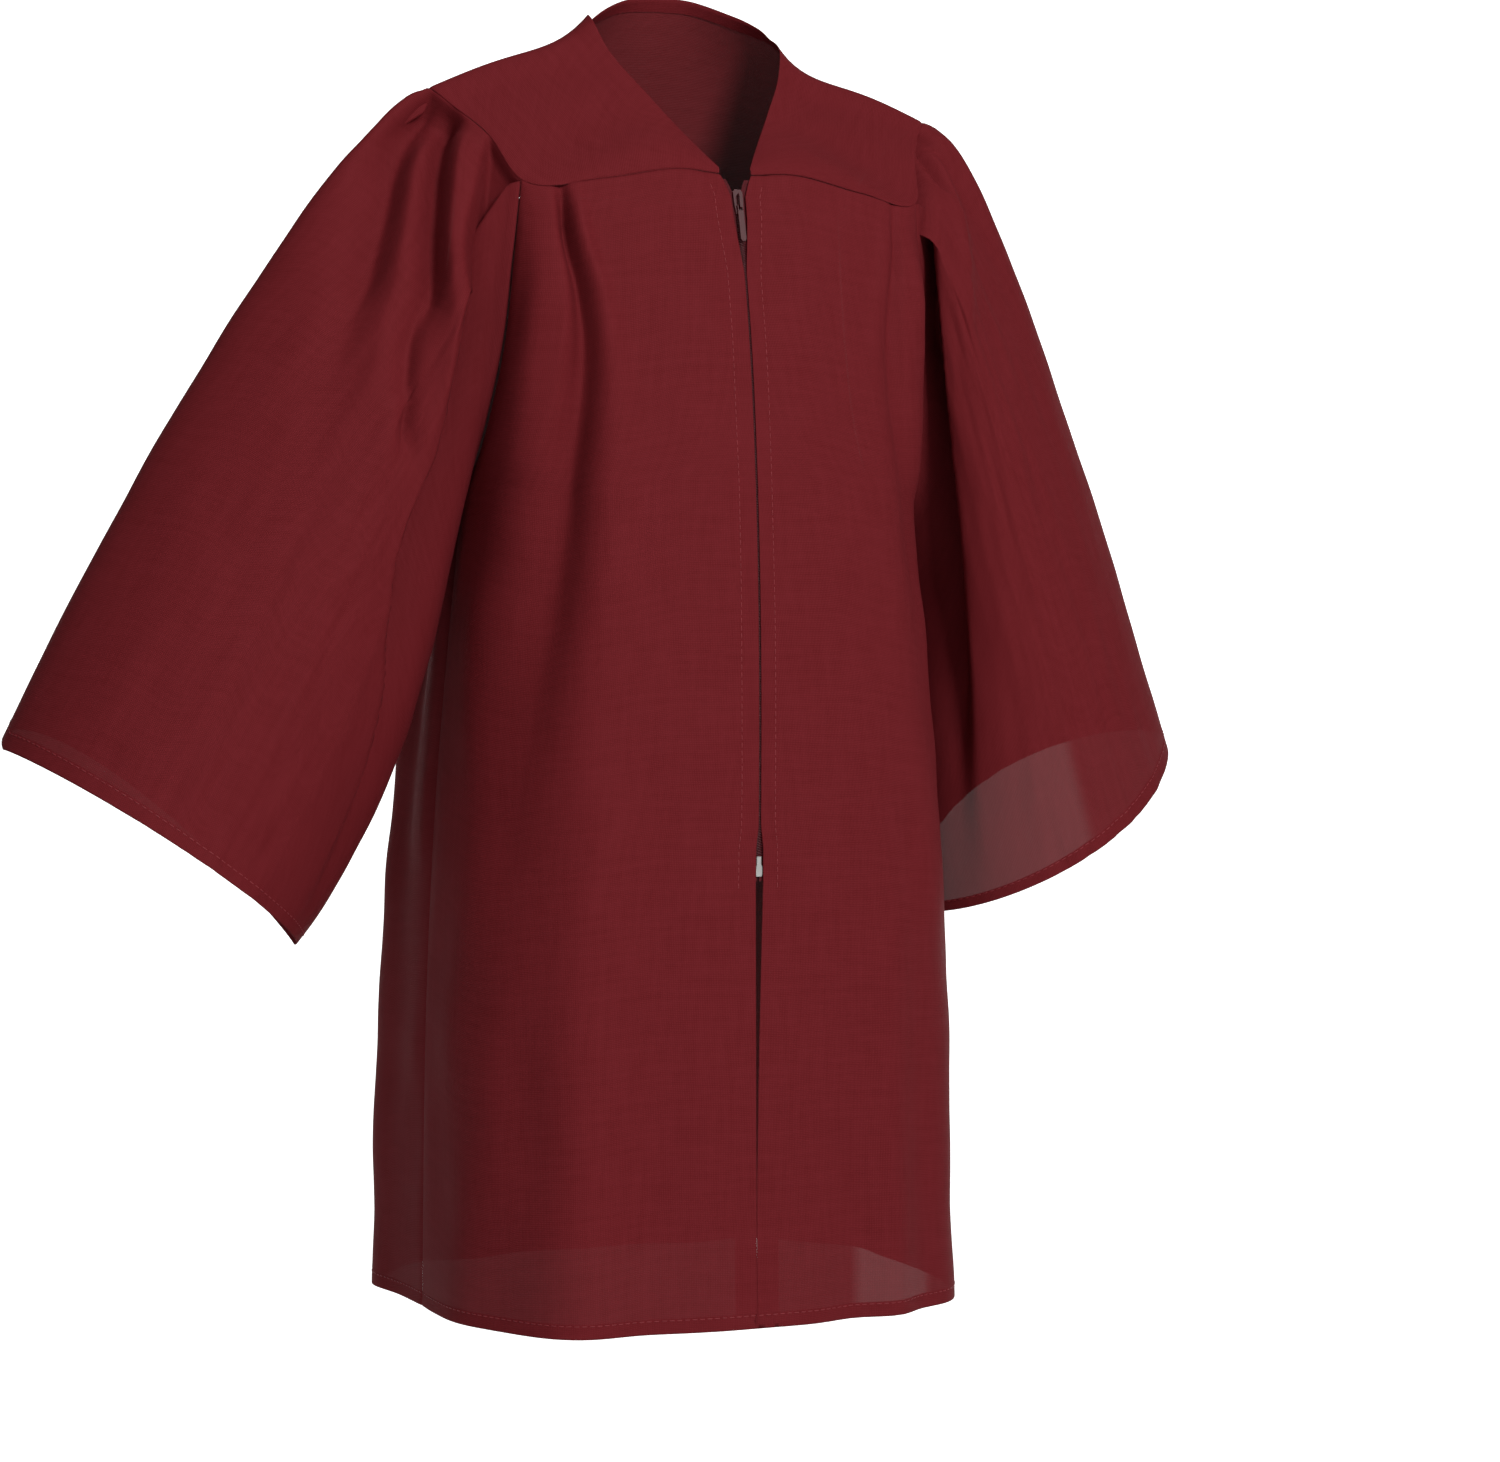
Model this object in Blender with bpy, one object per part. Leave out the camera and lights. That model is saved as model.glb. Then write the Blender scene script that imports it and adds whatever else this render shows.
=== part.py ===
"""A child's graduation gown, worn by nobody: a yoke, two fronts, a back,
two bell sleeves and a front zip, each as its own hollow cloth wall.

Metres, +Z up, the front faces -Y and the wearer's left is +X. The origin lies
midway between the two points where the neck edge crosses the shoulders.
"""
import math

import bmesh
import bpy
import numpy as np

# Cloth and seams
CLOTH = 0.0012
SEAM_GAP = 0.0003
HEM_DEPTH = 0.0075
HEM_EXTRA = 0.0010

# Heights
HEM_Z = -0.6632
UNDERARM_Z = -0.245
CENTRE_LEAN = -0.012

# Cuffs, as lenses folded at their top and foot; the right arm is held out further
CUFF_POINT = 1.35
CUFFS = {
    -1: {"top": (0.360, 0.008, -0.372), "foot": (0.215, 0.000, -0.472),
         "front": (-0.072, 0.000), "back": (0.072, 0.000)},
    1: {"top": (0.303, 0.015, -0.3735), "foot": (0.146, 0.000, -0.468),
        "front": (-0.070, -0.008), "back": (0.073, 0.010)},
}

# Body sections: height, half width, front and back depth line, squareness of each half
SECTIONS = {
    "z":      (-0.060, -0.090, -0.160, -0.245, -0.325, -0.404, -0.512, HEM_Z),
    "half":   (0.1240, 0.1230, 0.1190, 0.1225, 0.1300, 0.1365, 0.1415, 0.1440),
    "front":  (-0.056, -0.065, -0.080, -0.092, -0.100, -0.105, -0.109, -0.113),
    "back":   (0.0560, 0.0620, 0.0800, 0.0990, 0.1140, 0.1235, 0.1300, 0.1325),
    "middle": (0.0060, 0.0060, 0.0060, 0.0070, 0.0080, 0.0090, 0.0100, 0.0100),
    "front_square": (4.2, 4.0, 3.0, 2.7, 2.8, 3.0, 3.2, 3.4),
    "back_square":  (4.0, 3.8, 3.2, 3.3, 3.8, 4.1, 4.2, 4.2),
}

# Neck edge of one side, from the foot of the V over the shoulder to the centre back
NECK = {
    "place": (0.0, 0.16, 0.33, 0.44, 0.50, 0.60, 0.72, 0.86, 1.0),
    "x": (0.0088, 0.0200, 0.0345, 0.0490, 0.0540, 0.0520, 0.0400, 0.0200, 0.0),
    "y": (-0.0618, -0.0480, -0.0310, -0.0140, -0.0050, 0.0130, 0.0300, 0.0410, 0.0440),
    "z": (-0.0800, -0.0640, -0.0430, -0.0200, -0.0040, 0.0020, 0.0115, 0.0207, 0.0233),
}

# The gown sits a little askew: the wearer's left neck corner is lower, the back of the neck
# is shifted to the left and higher there, the left shoulder is shorter, the hem falls left
NECK_TILT = 0.075
NECK_SHIFT = 0.005
NECK_RISE = 0.050
SHOULDER_IN = {-1: 0.0, 1: 0.0050}
SHOULDER_DIP = {-1: 0.0058, 1: 0.0068}
HEM_TILT = 0.012

# Outer edge of the yoke of one side: front seam, armhole over the shoulder, back seam
YOKE_EDGE = {
    "place": (0.0, 0.10, 0.20, 0.32, 0.38, 0.45, 0.50, 0.55, 0.62, 0.68, 0.80, 0.90, 1.0),
    "x": (0.0090, 0.0350, 0.0720, 0.1120, 0.1220, 0.1350, 0.1440,
          0.1350, 0.1220, 0.1120, 0.0720, 0.0360, 0.0),
    "y": (-0.0630, -0.0650, -0.0625, -0.0500, -0.0330, -0.0170, -0.0060,
          0.0070, 0.0230, 0.0400, 0.0560, 0.0610, 0.0625),
    "z": (-0.0830, -0.0820, -0.0885, -0.0900, -0.0670, -0.0510, -0.0410,
          -0.0500, -0.0660, -0.0880, -0.0860, -0.0840, -0.0830),
}
FRONT_CORNER = 0.32
SHOULDER_END = 0.50
BACK_CORNER = 0.68

# Bows of the yoke between its neck and outer edges: place along it, reach, and move in y and z
YOKE_BOWS = (
    {"name": "chest", "place": 0.22, "reach": 0.13, "y": -0.0050, "z": 0.0030},
    {"name": "shoulder blade", "place": 0.86, "reach": 0.16, "y": 0.0060, "z": 0.0040},
)
DIP_PLACE = 0.48
DIP_REACH = 0.10

# Armhole below the yoke corners, from the corner down to the underarm
ARMHOLE_FRONT = {
    "z": (-0.090, -0.130, -0.170, -0.205, -0.230, UNDERARM_Z),
    "x": (0.1120, 0.1150, 0.1170, 0.1200, 0.1220, 0.1230),
    "y": (-0.0500, -0.0460, -0.0390, -0.0270, -0.0120, 0.00685),
}
ARMHOLE_BACK = {
    "z": (-0.088, -0.130, -0.170, -0.205, -0.230, UNDERARM_Z),
    "x": (0.1120, 0.1160, 0.1190, 0.1210, 0.1225, 0.1230),
    "y": (0.0400, 0.0430, 0.0420, 0.0360, 0.0250, 0.00715),
}

# Half of the gap between the fronts: the V, the slider, the closed zip, the open vent
FRONT_GAP = {
    "z":   (HEM_Z, -0.520, -0.440, -0.424, -0.412, -0.134, -0.118, -0.106, -0.094, -0.088, -0.080),
    "gap": (0.0008, 0.0015, 0.0023, 0.0021, 0.0006, 0.0006, 0.0021, 0.0031, 0.0032, 0.0056, 0.0095),
}

# Knife pleats and soft folds of the body, each on one column of its panel: a column is the
# share of the panel's width (fronts from the zip out, back from the side in)
BODY_FOLDS = (
    {"panel": "front", "column": 0.815, "foot": -0.45, "depth": 0.0070, "width": 0.026, "ridge": 0.0030},
    {"panel": "front", "column": 0.400, "foot": -0.66, "depth": 0.0022, "width": 0.060, "ridge": 0.0008},
    {"panel": "back", "column": 0.220, "foot": -0.60, "depth": 0.0070, "width": 0.024, "ridge": 0.0030},
    {"panel": "back", "column": 0.480, "foot": -0.66, "depth": 0.0075, "width": 0.026, "ridge": 0.0032},
    {"panel": "back", "column": 0.740, "foot": -0.57, "depth": 0.0068, "width": 0.024, "ridge": 0.0030},
)
PANEL_WIDTH = 0.170
FOLD_TOP_Z = -0.085

# The front pleat drops straight, then swings out to the side: share of the front's width
# where its column lies at each height
FRONT_PLEAT = 0.815
FRONT_PLEAT_LINE = {
    "z":      (HEM_Z, -0.450, -0.396, -0.349, -0.304, -0.268, -0.228, -0.188,
               -0.163, -0.139, -0.124, -0.113, -0.102, -0.0925, -0.083),
    "across": (0.630, 0.650, 0.645, 0.611, 0.581, 0.561, 0.552, 0.549,
               0.566, 0.613, 0.675, 0.724, 0.768, 0.7930, 0.800),
}

# Pleats of a sleeve head. Head is a column of the sleeve (0 underarm, 0.27 front corner,
# 0.5 shoulder, 0.73 back corner), run is how far down the pleat fades
SLEEVE_FOLDS = (
    {"name": "front pleat by the shoulder", "head": 0.474, "run": 0.80, "depth": 0.0085, "ridge": 0.0028},
    {"name": "second front pleat", "head": 0.430, "run": 0.64, "depth": 0.0105, "ridge": 0.0050},
    {"name": "third front pleat", "head": 0.376, "run": 0.55, "depth": 0.0130, "ridge": 0.0050},
    {"name": "front pleat by the corner", "head": 0.316, "run": 0.42, "depth": 0.0085, "ridge": 0.0030},
    {"name": "back pleat by the shoulder", "head": 0.526, "run": 0.75, "depth": 0.0085, "ridge": 0.0028},
    {"name": "second back pleat", "head": 0.570, "run": 0.62, "depth": 0.0105, "ridge": 0.0050},
    {"name": "third back pleat", "head": 0.624, "run": 0.52, "depth": 0.0120, "ridge": 0.0050},
    {"name": "back pleat by the corner", "head": 0.684, "run": 0.42, "depth": 0.0085, "ridge": 0.0030},
)
FOLD_WIDTH = 0.013
RIDGE_PLACE = 0.024

# Columns of the front of a sleeve head, and how far each drifts towards the underarm
SLEEVE_COLUMNS = {
    "head": (0.270, 0.284, 0.298, 0.307, 0.316, 0.326, 0.340, 0.354, 0.366, 0.376, 0.387, 0.400,
             0.412, 0.421, 0.430, 0.440, 0.452, 0.464, 0.474, 0.485, 0.492, 0.500),
    "drift": (0.100, 0.112, 0.122, 0.128, 0.133, 0.138, 0.144, 0.147, 0.148, 0.147, 0.145, 0.140,
              0.133, 0.127, 0.119, 0.108, 0.094, 0.078, 0.062, 0.040, 0.022, 0.000),
}

# Where the body's own sections meet the armhole: turn at the two yoke corners, how far from
# the seam a panel is pulled onto it, and from which share of its width onto the armhole
FRONT_CORNER_TURN = 0.40
BACK_CORNER_TURN = 0.62
SEAM_PULL = 0.06
HOLE_PULL = 0.55

# Grid of each panel: shares of its width or length where a row of points lies
FRONT_ACROSS = (0.0, 0.02, 0.13, 0.26, 0.39, 0.50, 0.60, 0.68, 0.735, 0.775,
                0.815, 0.835, 0.86, 0.885, 0.91, 0.94, 0.97, 1.0)
BACK_ACROSS = (0.0, 0.07, 0.13, 0.175, 0.22, 0.27, 0.32, 0.38, 0.435, 0.48, 0.53, 0.58, 0.64,
               0.695, 0.74, 0.79, 0.85, 0.92, 1.0)
ARMHOLE_DOWN = (-0.090, -0.100, -0.112, -0.124, -0.140, -0.165, -0.190, -0.212, -0.230, UNDERARM_Z)
SIDE_DOWN = (-0.270, -0.305, -0.350, -0.397, -0.4155, -0.4275, -0.4430, -0.505, -0.580)
YOKE_ACROSS = 4
SLEEVE_DOWN = (0.0, 0.04, 0.09, 0.15, 0.22, 0.30, 0.39, 0.50, 0.62, 0.75, 0.88)

# Step that keeps two joined shapes from sharing a face
FACE_STEP = 0.00006

# Zip
TAPE_WIDTH = 0.0115
TAPE_THICK = 0.0007
TAPE_EDGE = 0.0006
TAPE_TOP_Z = -0.0855
TAPE_FOOT_Z = -0.4400
SLIDER_Z = -0.0975
SLIDER_HIGH = 0.0130
SLIDER_WIDE = 0.0052
SLIDER_TAPER = 0.0040
SLIDER_PLATE = 0.0010
SLIDER_POST = 0.0012
BRIDGE_WIDE = 0.0014
BRIDGE_BAR = 0.0008
BRIDGE_HIGH = 0.0076
BRIDGE_OUT = 0.0026
PIN_RADIUS = 0.00042
TAB_WIDE = 0.0031
TAB_THICK = 0.0008
TAB_LONG = 0.0190
TAB_EYE = 0.00275
STOP_Z = -0.4326
STOP_HIGH = 0.0100
STOP_WIDE = 0.0038
STOP_NECK = 0.0026
STOP_THICK = 0.0013

# Colours as linear RGB, roughness, metallic
FINISHES = {
    "gown_cloth": ((0.147, 0.013, 0.020), 0.72, 0.0),
    "zip_tape_cloth": ((0.120, 0.011, 0.017), 0.80, 0.0),
    "lacquered_zip_metal": ((0.110, 0.010, 0.016), 0.35, 0.6),
    "bare_zip_metal": ((0.780, 0.780, 0.760), 0.30, 1.0),
}


def clear_scene():
    """Remove every object of the open file."""
    for old in list(bpy.data.objects):
        bpy.data.objects.remove(old, do_unlink=True)


def finish(name):
    """The Principled material of one finish."""
    colour, roughness, metallic = FINISHES[name]
    material = bpy.data.materials.get(name) or bpy.data.materials.new(name)
    material.use_nodes = True
    shader = material.node_tree.nodes["Principled BSDF"]
    shader.inputs["Base Color"].default_value = (*colour, 1.0)
    shader.inputs["Roughness"].default_value = roughness
    shader.inputs["Metallic"].default_value = metallic
    return material


def smooth_step(share):
    """0 to 1 with level ends."""
    share = np.clip(share, 0.0, 1.0)
    return share * share * (3.0 - 2.0 * share)


def through(places, values, at):
    """Smooth curve through values at rising places, read at each place of at."""
    places = np.asarray(places, float)
    values = np.asarray(values, float)
    at = np.clip(np.asarray(at, float), places[0], places[-1])
    steps = np.diff(places)
    slopes = np.diff(values) / steps
    tangents = np.concatenate([slopes[:1], 0.5 * (slopes[1:] + slopes[:-1]), slopes[-1:]])
    left = np.clip(np.searchsorted(places, at, side="right") - 1, 0, len(steps) - 1)
    t = (at - places[left]) / steps[left]
    return (values[left] * (2 * t**3 - 3 * t**2 + 1) + values[left + 1] * (3 * t**2 - 2 * t**3)
            + steps[left] * (tangents[left] * (t**3 - 2 * t**2 + t) + tangents[left + 1] * (t**3 - t**2)))


def column(table, name, at, key="z"):
    """One named column of a table whose key column may rise or fall."""
    keys, values = np.asarray(table[key], float), np.asarray(table[name], float)
    order = np.argsort(keys)
    return through(keys[order], values[order], at)


def columns(table, at, key, names=("x", "y", "z")):
    """Several columns at once, as points."""
    return np.stack([column(table, name, at, key) for name in names], axis=-1)


def normals(points, closed=False):
    """Unit normals of a grid of points, by its neighbours."""
    if closed:
        round_it = np.concatenate([points[:, -1:], points, points[:, :1]], axis=1)
        across = (round_it[:, 2:] - round_it[:, :-2])
    else:
        across = np.gradient(points, axis=1)
    down = np.gradient(points, axis=0)
    found = np.cross(across, down)
    return found / np.maximum(np.linalg.norm(found, axis=-1, keepdims=True), 1e-12)


def quarter(half, depth, square, share):
    """A quarter of a squared oval, from its middle line to its side, even along its length."""
    angle = np.linspace(0.0, math.pi / 2, 121)
    x = half * np.sin(angle) ** (2.0 / square)
    y = depth * np.cos(angle) ** (2.0 / square)
    length = np.concatenate([[0.0], np.cumsum(np.hypot(np.diff(x), np.diff(y)))])
    length = length / length[-1]
    return np.interp(share, length, x), np.interp(share, length, y)


def body_points(side, turn, z):
    """Plain body surface: turn 0 at the centre front, 0.5 at the side, 1 at the centre back."""
    turn, z = np.broadcast_arrays(np.asarray(turn, float), np.asarray(z, float))
    points = np.zeros(turn.shape + (3,))
    for place in np.ndindex(turn.shape):
        height = z[place]
        half = column(SECTIONS, "half", height)
        middle = column(SECTIONS, "middle", height)
        if turn[place] <= 0.5:
            square = column(SECTIONS, "front_square", height)
            depth = middle - column(SECTIONS, "front", height)
            x, y = quarter(half, depth, square, turn[place] / 0.5)
            y = middle - y
        else:
            square = column(SECTIONS, "back_square", height)
            depth = column(SECTIONS, "back", height) - middle
            x, y = quarter(half, depth, square, (1.0 - turn[place]) / 0.5)
            y = middle + y
        points[place] = (x, y, height)
    lean = CENTRE_LEAN * smooth_step((-0.10 - z) / 0.562) * np.clip(1.0 - turn / 0.5, 0.0, 1.0)
    points[..., 0] = side * points[..., 0] + lean
    return points


def front_girth(z):
    """Length of the body's front quarter at a height."""
    row = body_points(1, np.linspace(0.0, 0.5, 25), np.full(25, z))
    return np.linalg.norm(np.diff(row, axis=0), axis=1).sum()


def fold_depth(fold, away, z):
    """How far one body fold moves the cloth: a trough with a ridge on its outer side."""
    down = np.clip((FOLD_TOP_Z - z) / (FOLD_TOP_Z - fold["foot"]), 0.0, 1.0)
    away = away / (0.5 * fold["width"] * (1.0 + 0.8 * down))
    fade = (0.35 + 0.65 * smooth_step(down / 0.10)) * (1.0 - smooth_step((down - 0.25) / 0.75))
    trough = -fold["depth"] * np.exp(-(away / 0.55) ** 2)
    ridge = fold["ridge"] * np.exp(-((away - 1.25) / 0.75) ** 2)
    return fade * (trough + ridge)


def panel_place(panel, column_at, z):
    """Share of a panel's width where a column lies at each height; the front's follow its pleat."""
    if panel == "back":
        return np.broadcast_to(column_at, np.shape(z))
    line = column(FRONT_PLEAT_LINE, "across", z)
    inside = column_at * line / FRONT_PLEAT
    outside = 1.0 - (1.0 - column_at) * (1.0 - line) / (1.0 - FRONT_PLEAT)
    return np.where(np.asarray(column_at) <= FRONT_PLEAT, inside, outside)


def body_panel(panel, side, turn, z, edge_shift, placed):
    """Body surface with the folds of its panel; edge_shift moves it onto the armhole."""
    points = body_points(side, turn, z) + edge_shift
    out = normals(points)
    if np.mean(np.einsum("ijk,ijk->ij", out[..., :2], points[..., :2])) < 0:
        out = -out
    outward = PANEL_WIDTH if panel == "front" else -PANEL_WIDTH
    move = np.zeros(turn.shape)
    for fold in BODY_FOLDS:
        if fold["panel"] == panel:
            move += fold_depth(fold, outward * (placed - panel_place(panel, fold["column"], z)), z)
    return points + out * move[..., None]


def armhole_edge(panel, side, z):
    """The armhole's own line below a yoke corner."""
    table = ARMHOLE_FRONT if panel == "front" else ARMHOLE_BACK
    points = np.stack([column(table, "x", z), column(table, "y", z), z], axis=-1)
    points[..., 0] *= side
    return points


def yoke_edge(side, place):
    """Outer edge of the yoke at places of its table; the wearer's left shoulder is shorter."""
    points = columns(YOKE_EDGE, place, "place")
    near = 1.0 - smooth_step(np.abs(np.asarray(place) - SHOULDER_END) / (SHOULDER_END - FRONT_CORNER))
    points[..., 0] = side * (points[..., 0] - SHOULDER_IN[side] * near)
    return points


def neck_edge(side, place):
    """Neck edge at places of its table; it sits lower on the wearer's left, and its back to the left."""
    points = columns(NECK, place, "place")
    points[..., 0] *= side
    place = np.asarray(place)
    tilt = smooth_step(place / 0.4) * (1.0 - smooth_step((place - 0.52) / 0.2))
    behind = smooth_step((place - 0.5) / 0.15)
    points[..., 2] += (NECK_RISE * behind - NECK_TILT * tilt) * points[..., 0]
    points[..., 0] += NECK_SHIFT * behind
    return points


def yoke_half(side, places, across):
    """Grid of one half of the yoke, rows along it and columns from neck to outer edge."""
    places = np.asarray(places)
    inner = neck_edge(side, places)[:, None]
    outer = yoke_edge(side, places)[:, None]
    share = np.asarray(across)[None]
    points = inner + (outer - inner) * share[..., None]
    for bow in YOKE_BOWS:
        near = np.exp(-((places - bow["place"]) / bow["reach"]) ** 2)[:, None] * 4.0 * share * (1.0 - share)
        points[..., 1] += bow["y"] * near
        points[..., 2] += bow["z"] * near
    dip = np.exp(-((places - DIP_PLACE) / DIP_REACH) ** 2)[:, None]
    points[..., 2] -= SHOULDER_DIP[side] * dip * 12.2 * share * (1.0 - share) ** 4
    return points


def armhole_ring(side):
    """Closed armhole line: underarm, front edge, over the shoulder, back edge."""
    low = np.array(ARMHOLE_DOWN)
    front = armhole_edge("front", side, low[::-1])
    over = yoke_edge(side, sleeve_head_places()[1:-1])
    back = armhole_edge("back", side, back_heights(low))
    return np.concatenate([front, over, back[:-1]])


def back_heights(low):
    """Heights of the back armhole's rows; its yoke corner is a little higher."""
    top = ARMHOLE_BACK["z"][0]
    share = (low - low[0]) / (low[-1] - low[0])
    return top + share * (low[-1] - top)


def sleeve_head_places():
    """Places of the yoke's edge where the sleeve head has a point."""
    share = (np.array(SLEEVE_COLUMNS["head"]) - 0.27) / 0.23
    front = FRONT_CORNER + share * (SHOULDER_END - FRONT_CORNER)
    back = BACK_CORNER - share[::-1] * (BACK_CORNER - SHOULDER_END)
    return np.concatenate([front, back[1:]])


def sleeve_columns():
    """Head place of each column round the sleeve, and its drift down the sleeve."""
    low = len(ARMHOLE_DOWN)
    head = np.array(SLEEVE_COLUMNS["head"])
    drift = np.array(SLEEVE_COLUMNS["drift"])
    under = np.linspace(0.0, head[0], low)
    under_drift = drift[0] * under / head[0]
    front = np.concatenate([under[:-1], head])
    front_drift = np.concatenate([under_drift[:-1], drift])
    back = 1.0 - front[::-1]
    return (np.concatenate([front, back[1:-1]]),
            np.concatenate([-front_drift, front_drift[::-1][1:-1]]))


# How each line of a sleeve leaves the armhole and reaches the cuff, per side
SLEEVE_RUN = {
    -1: {
        "turn": (0.0, 0.14, 0.27, 0.38, 0.50, 0.62, 0.73, 0.86, 1.0),
        "leave_x": (0.030, 0.070, 0.100, 0.147, 0.188, 0.147, 0.100, 0.070, 0.030),
        "leave_y": (0.000, -0.045, -0.060, -0.045, 0.000, 0.040, 0.050, 0.035, 0.000),
        "leave_z": (-0.170, -0.170, -0.180, -0.142, -0.104, -0.142, -0.180, -0.170, -0.170),
        "reach_x": (0.200, 0.165, 0.160, 0.178, 0.196, 0.178, 0.160, 0.165, 0.200),
        "reach_y": (0.000, -0.020, -0.030, -0.020, 0.000, 0.015, 0.020, 0.015, 0.000),
        "reach_z": (-0.240, -0.280, -0.320, -0.370, -0.410, -0.370, -0.320, -0.280, -0.240),
    },
    1: {
        "turn": (0.0, 0.14, 0.27, 0.38, 0.50, 0.62, 0.73, 0.86, 1.0),
        "leave_x": (0.065, 0.078, 0.088, 0.124, 0.152, 0.128, 0.098, 0.082, 0.065),
        "leave_y": (0.000, -0.040, -0.050, -0.035, 0.000, 0.040, 0.055, 0.040, 0.000),
        "leave_z": (-0.190, -0.180, -0.180, -0.142, -0.104, -0.142, -0.180, -0.180, -0.190),
        "reach_x": (0.020, 0.060, 0.095, 0.122, 0.142, 0.125, 0.110, 0.075, 0.020),
        "reach_y": (0.000, -0.015, -0.020, -0.015, 0.015, 0.030, 0.035, 0.020, 0.000),
        "reach_z": (-0.240, -0.280, -0.320, -0.370, -0.400, -0.370, -0.320, -0.280, -0.240),
    },
}
SLEEVE_LENGTH = 0.39


def ring_map(turn):
    """Share of the half cuff for a place round the sleeve: the head's pleats open out."""
    share = np.where(turn <= 0.5, turn, 1.0 - turn) * 2.0
    return share + 0.05 * np.sin(2.0 * math.pi * share)


def cuff_ring(side, turn):
    """Cuff edge on the +X side: a lens folded at its top and its foot, even along its length."""
    cuff = CUFFS[side]
    top, foot = np.array(cuff["top"]), np.array(cuff["foot"])
    middle, reach = (top + foot) / 2, (top - foot) / 2
    angle = np.linspace(0.0, math.pi, 181)
    along, belly = -np.cos(angle), np.sin(angle) ** CUFF_POINT
    steps = np.hypot(np.diff(along) * np.linalg.norm(reach), np.diff(belly) * abs(cuff["front"][0]))
    length = np.concatenate([[0.0], np.cumsum(steps)]) / steps.sum()
    even = ring_map(turn)
    run = np.interp(even, length, along)
    out = np.interp(even, length, belly)
    points = middle + run[..., None] * reach
    points[..., 1] += out * np.where(turn <= 0.5, cuff["front"][0], cuff["back"][0])
    points[..., 2] += out * np.where(turn <= 0.5, cuff["front"][1], cuff["back"][1])
    return points


def sleeve_surface(side, turn, down):
    """Plain sleeve surface on the +X side at places round it and shares of its length."""
    ring = armhole_ring(side)
    ring[:, 0] = side * ring[:, 0] + SEAM_GAP
    heads, _ = sleeve_columns()
    heads, ring = np.append(heads, 1.0), np.concatenate([ring, ring[:1]])
    head = np.stack([np.interp(turn, heads, ring[:, axis]) for axis in range(3)], axis=-1)
    run = SLEEVE_RUN[side]
    leave = np.stack([through(run["turn"], run["leave_" + axis], turn) for axis in "xyz"], axis=-1)
    reach = np.stack([through(run["turn"], run["reach_" + axis], turn) for axis in "xyz"], axis=-1)
    t = down[..., None]
    return (head * (2 * t**3 - 3 * t**2 + 1) + leave * (t**3 - 2 * t**2 + t)
            + cuff_ring(side, turn) * (3 * t**2 - 2 * t**3) + reach * (t**3 - t**2))


def sleeve_fold(fold, head, down):
    """How far one sleeve pleat moves the cloth: a trough with a ridge towards the shoulder."""
    share = np.clip(down / fold["run"], 0.0, 1.0)
    away = (head - fold["head"]) * (1.0 if fold["head"] < 0.5 else -1.0)
    fade = smooth_step(down / 0.10 + 0.12) * (1.0 - smooth_step((share - 0.25) / 0.75))
    trough = -fold["depth"] * np.exp(-(away / FOLD_WIDTH) ** 2)
    ridge = fold["ridge"] * np.exp(-((away - RIDGE_PLACE) / FOLD_WIDTH) ** 2)
    return fade * (trough + ridge)


def sleeve_grid(side, down):
    """Rows from the armhole to the cuff, points round each row; columns follow the pleats."""
    heads, drift = sleeve_columns()
    rows = np.broadcast_to(np.asarray(down)[:, None], (len(down), len(heads)))
    around = np.broadcast_to(heads[None], rows.shape)
    turn = heads[None] + drift[None] * smooth_step(np.asarray(down)[:, None] / 0.75) ** 0.8
    points = sleeve_surface(side, turn, rows)
    out = normals(points, closed=True)
    centre = points.mean(axis=1, keepdims=True)
    if np.mean(np.einsum("ijk,ijk->ij", out, points - centre)) < 0:
        out = -out
    move = sum(sleeve_fold(fold, around, rows) for fold in SLEEVE_FOLDS)
    points = points + out * move[..., None]
    points[..., 0] *= side
    return points


def lean(out, rows, cols, axis, sign):
    """Keep the normals of some edge points from leaning over a seam along one axis."""
    edge = out[rows, cols]
    edge[..., axis] = sign * np.maximum(sign * edge[..., axis], 0.0)
    edge /= np.maximum(np.linalg.norm(edge, axis=-1, keepdims=True), 1e-9)
    out[rows, cols] = edge


def shoulder_normals():
    """Normals shared by the yoke and a sleeve along their seam, so their rims lie parallel.

    At the two corners, where a front or the back joins too, they are level.
    """
    line = yoke_edge(1, sleeve_head_places())
    across = np.cross(np.gradient(line, axis=0), (1.0, 0.0, 0.0))
    across *= np.where(across[:, 2] < 0, -1.0, 1.0)[:, None]
    across[[0, -1]] = (0.0, -1.0, 0.0), (0.0, 1.0, 0.0)
    return across / np.linalg.norm(across, axis=1, keepdims=True)


def seam_normals(side, places):
    """Level normals shared by the yoke and the panel below it, so their rims lie parallel."""
    along = np.gradient(yoke_edge(side, places), axis=0)
    out = side * np.stack([along[:, 1], -along[:, 0], np.zeros(len(places))], axis=-1)
    corner = 0 if places[0] > SHOULDER_END else -1
    out[corner] = (0.0, 1.0 if corner == 0 else -1.0, 0.0)
    return out / np.linalg.norm(out, axis=1, keepdims=True)


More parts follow.
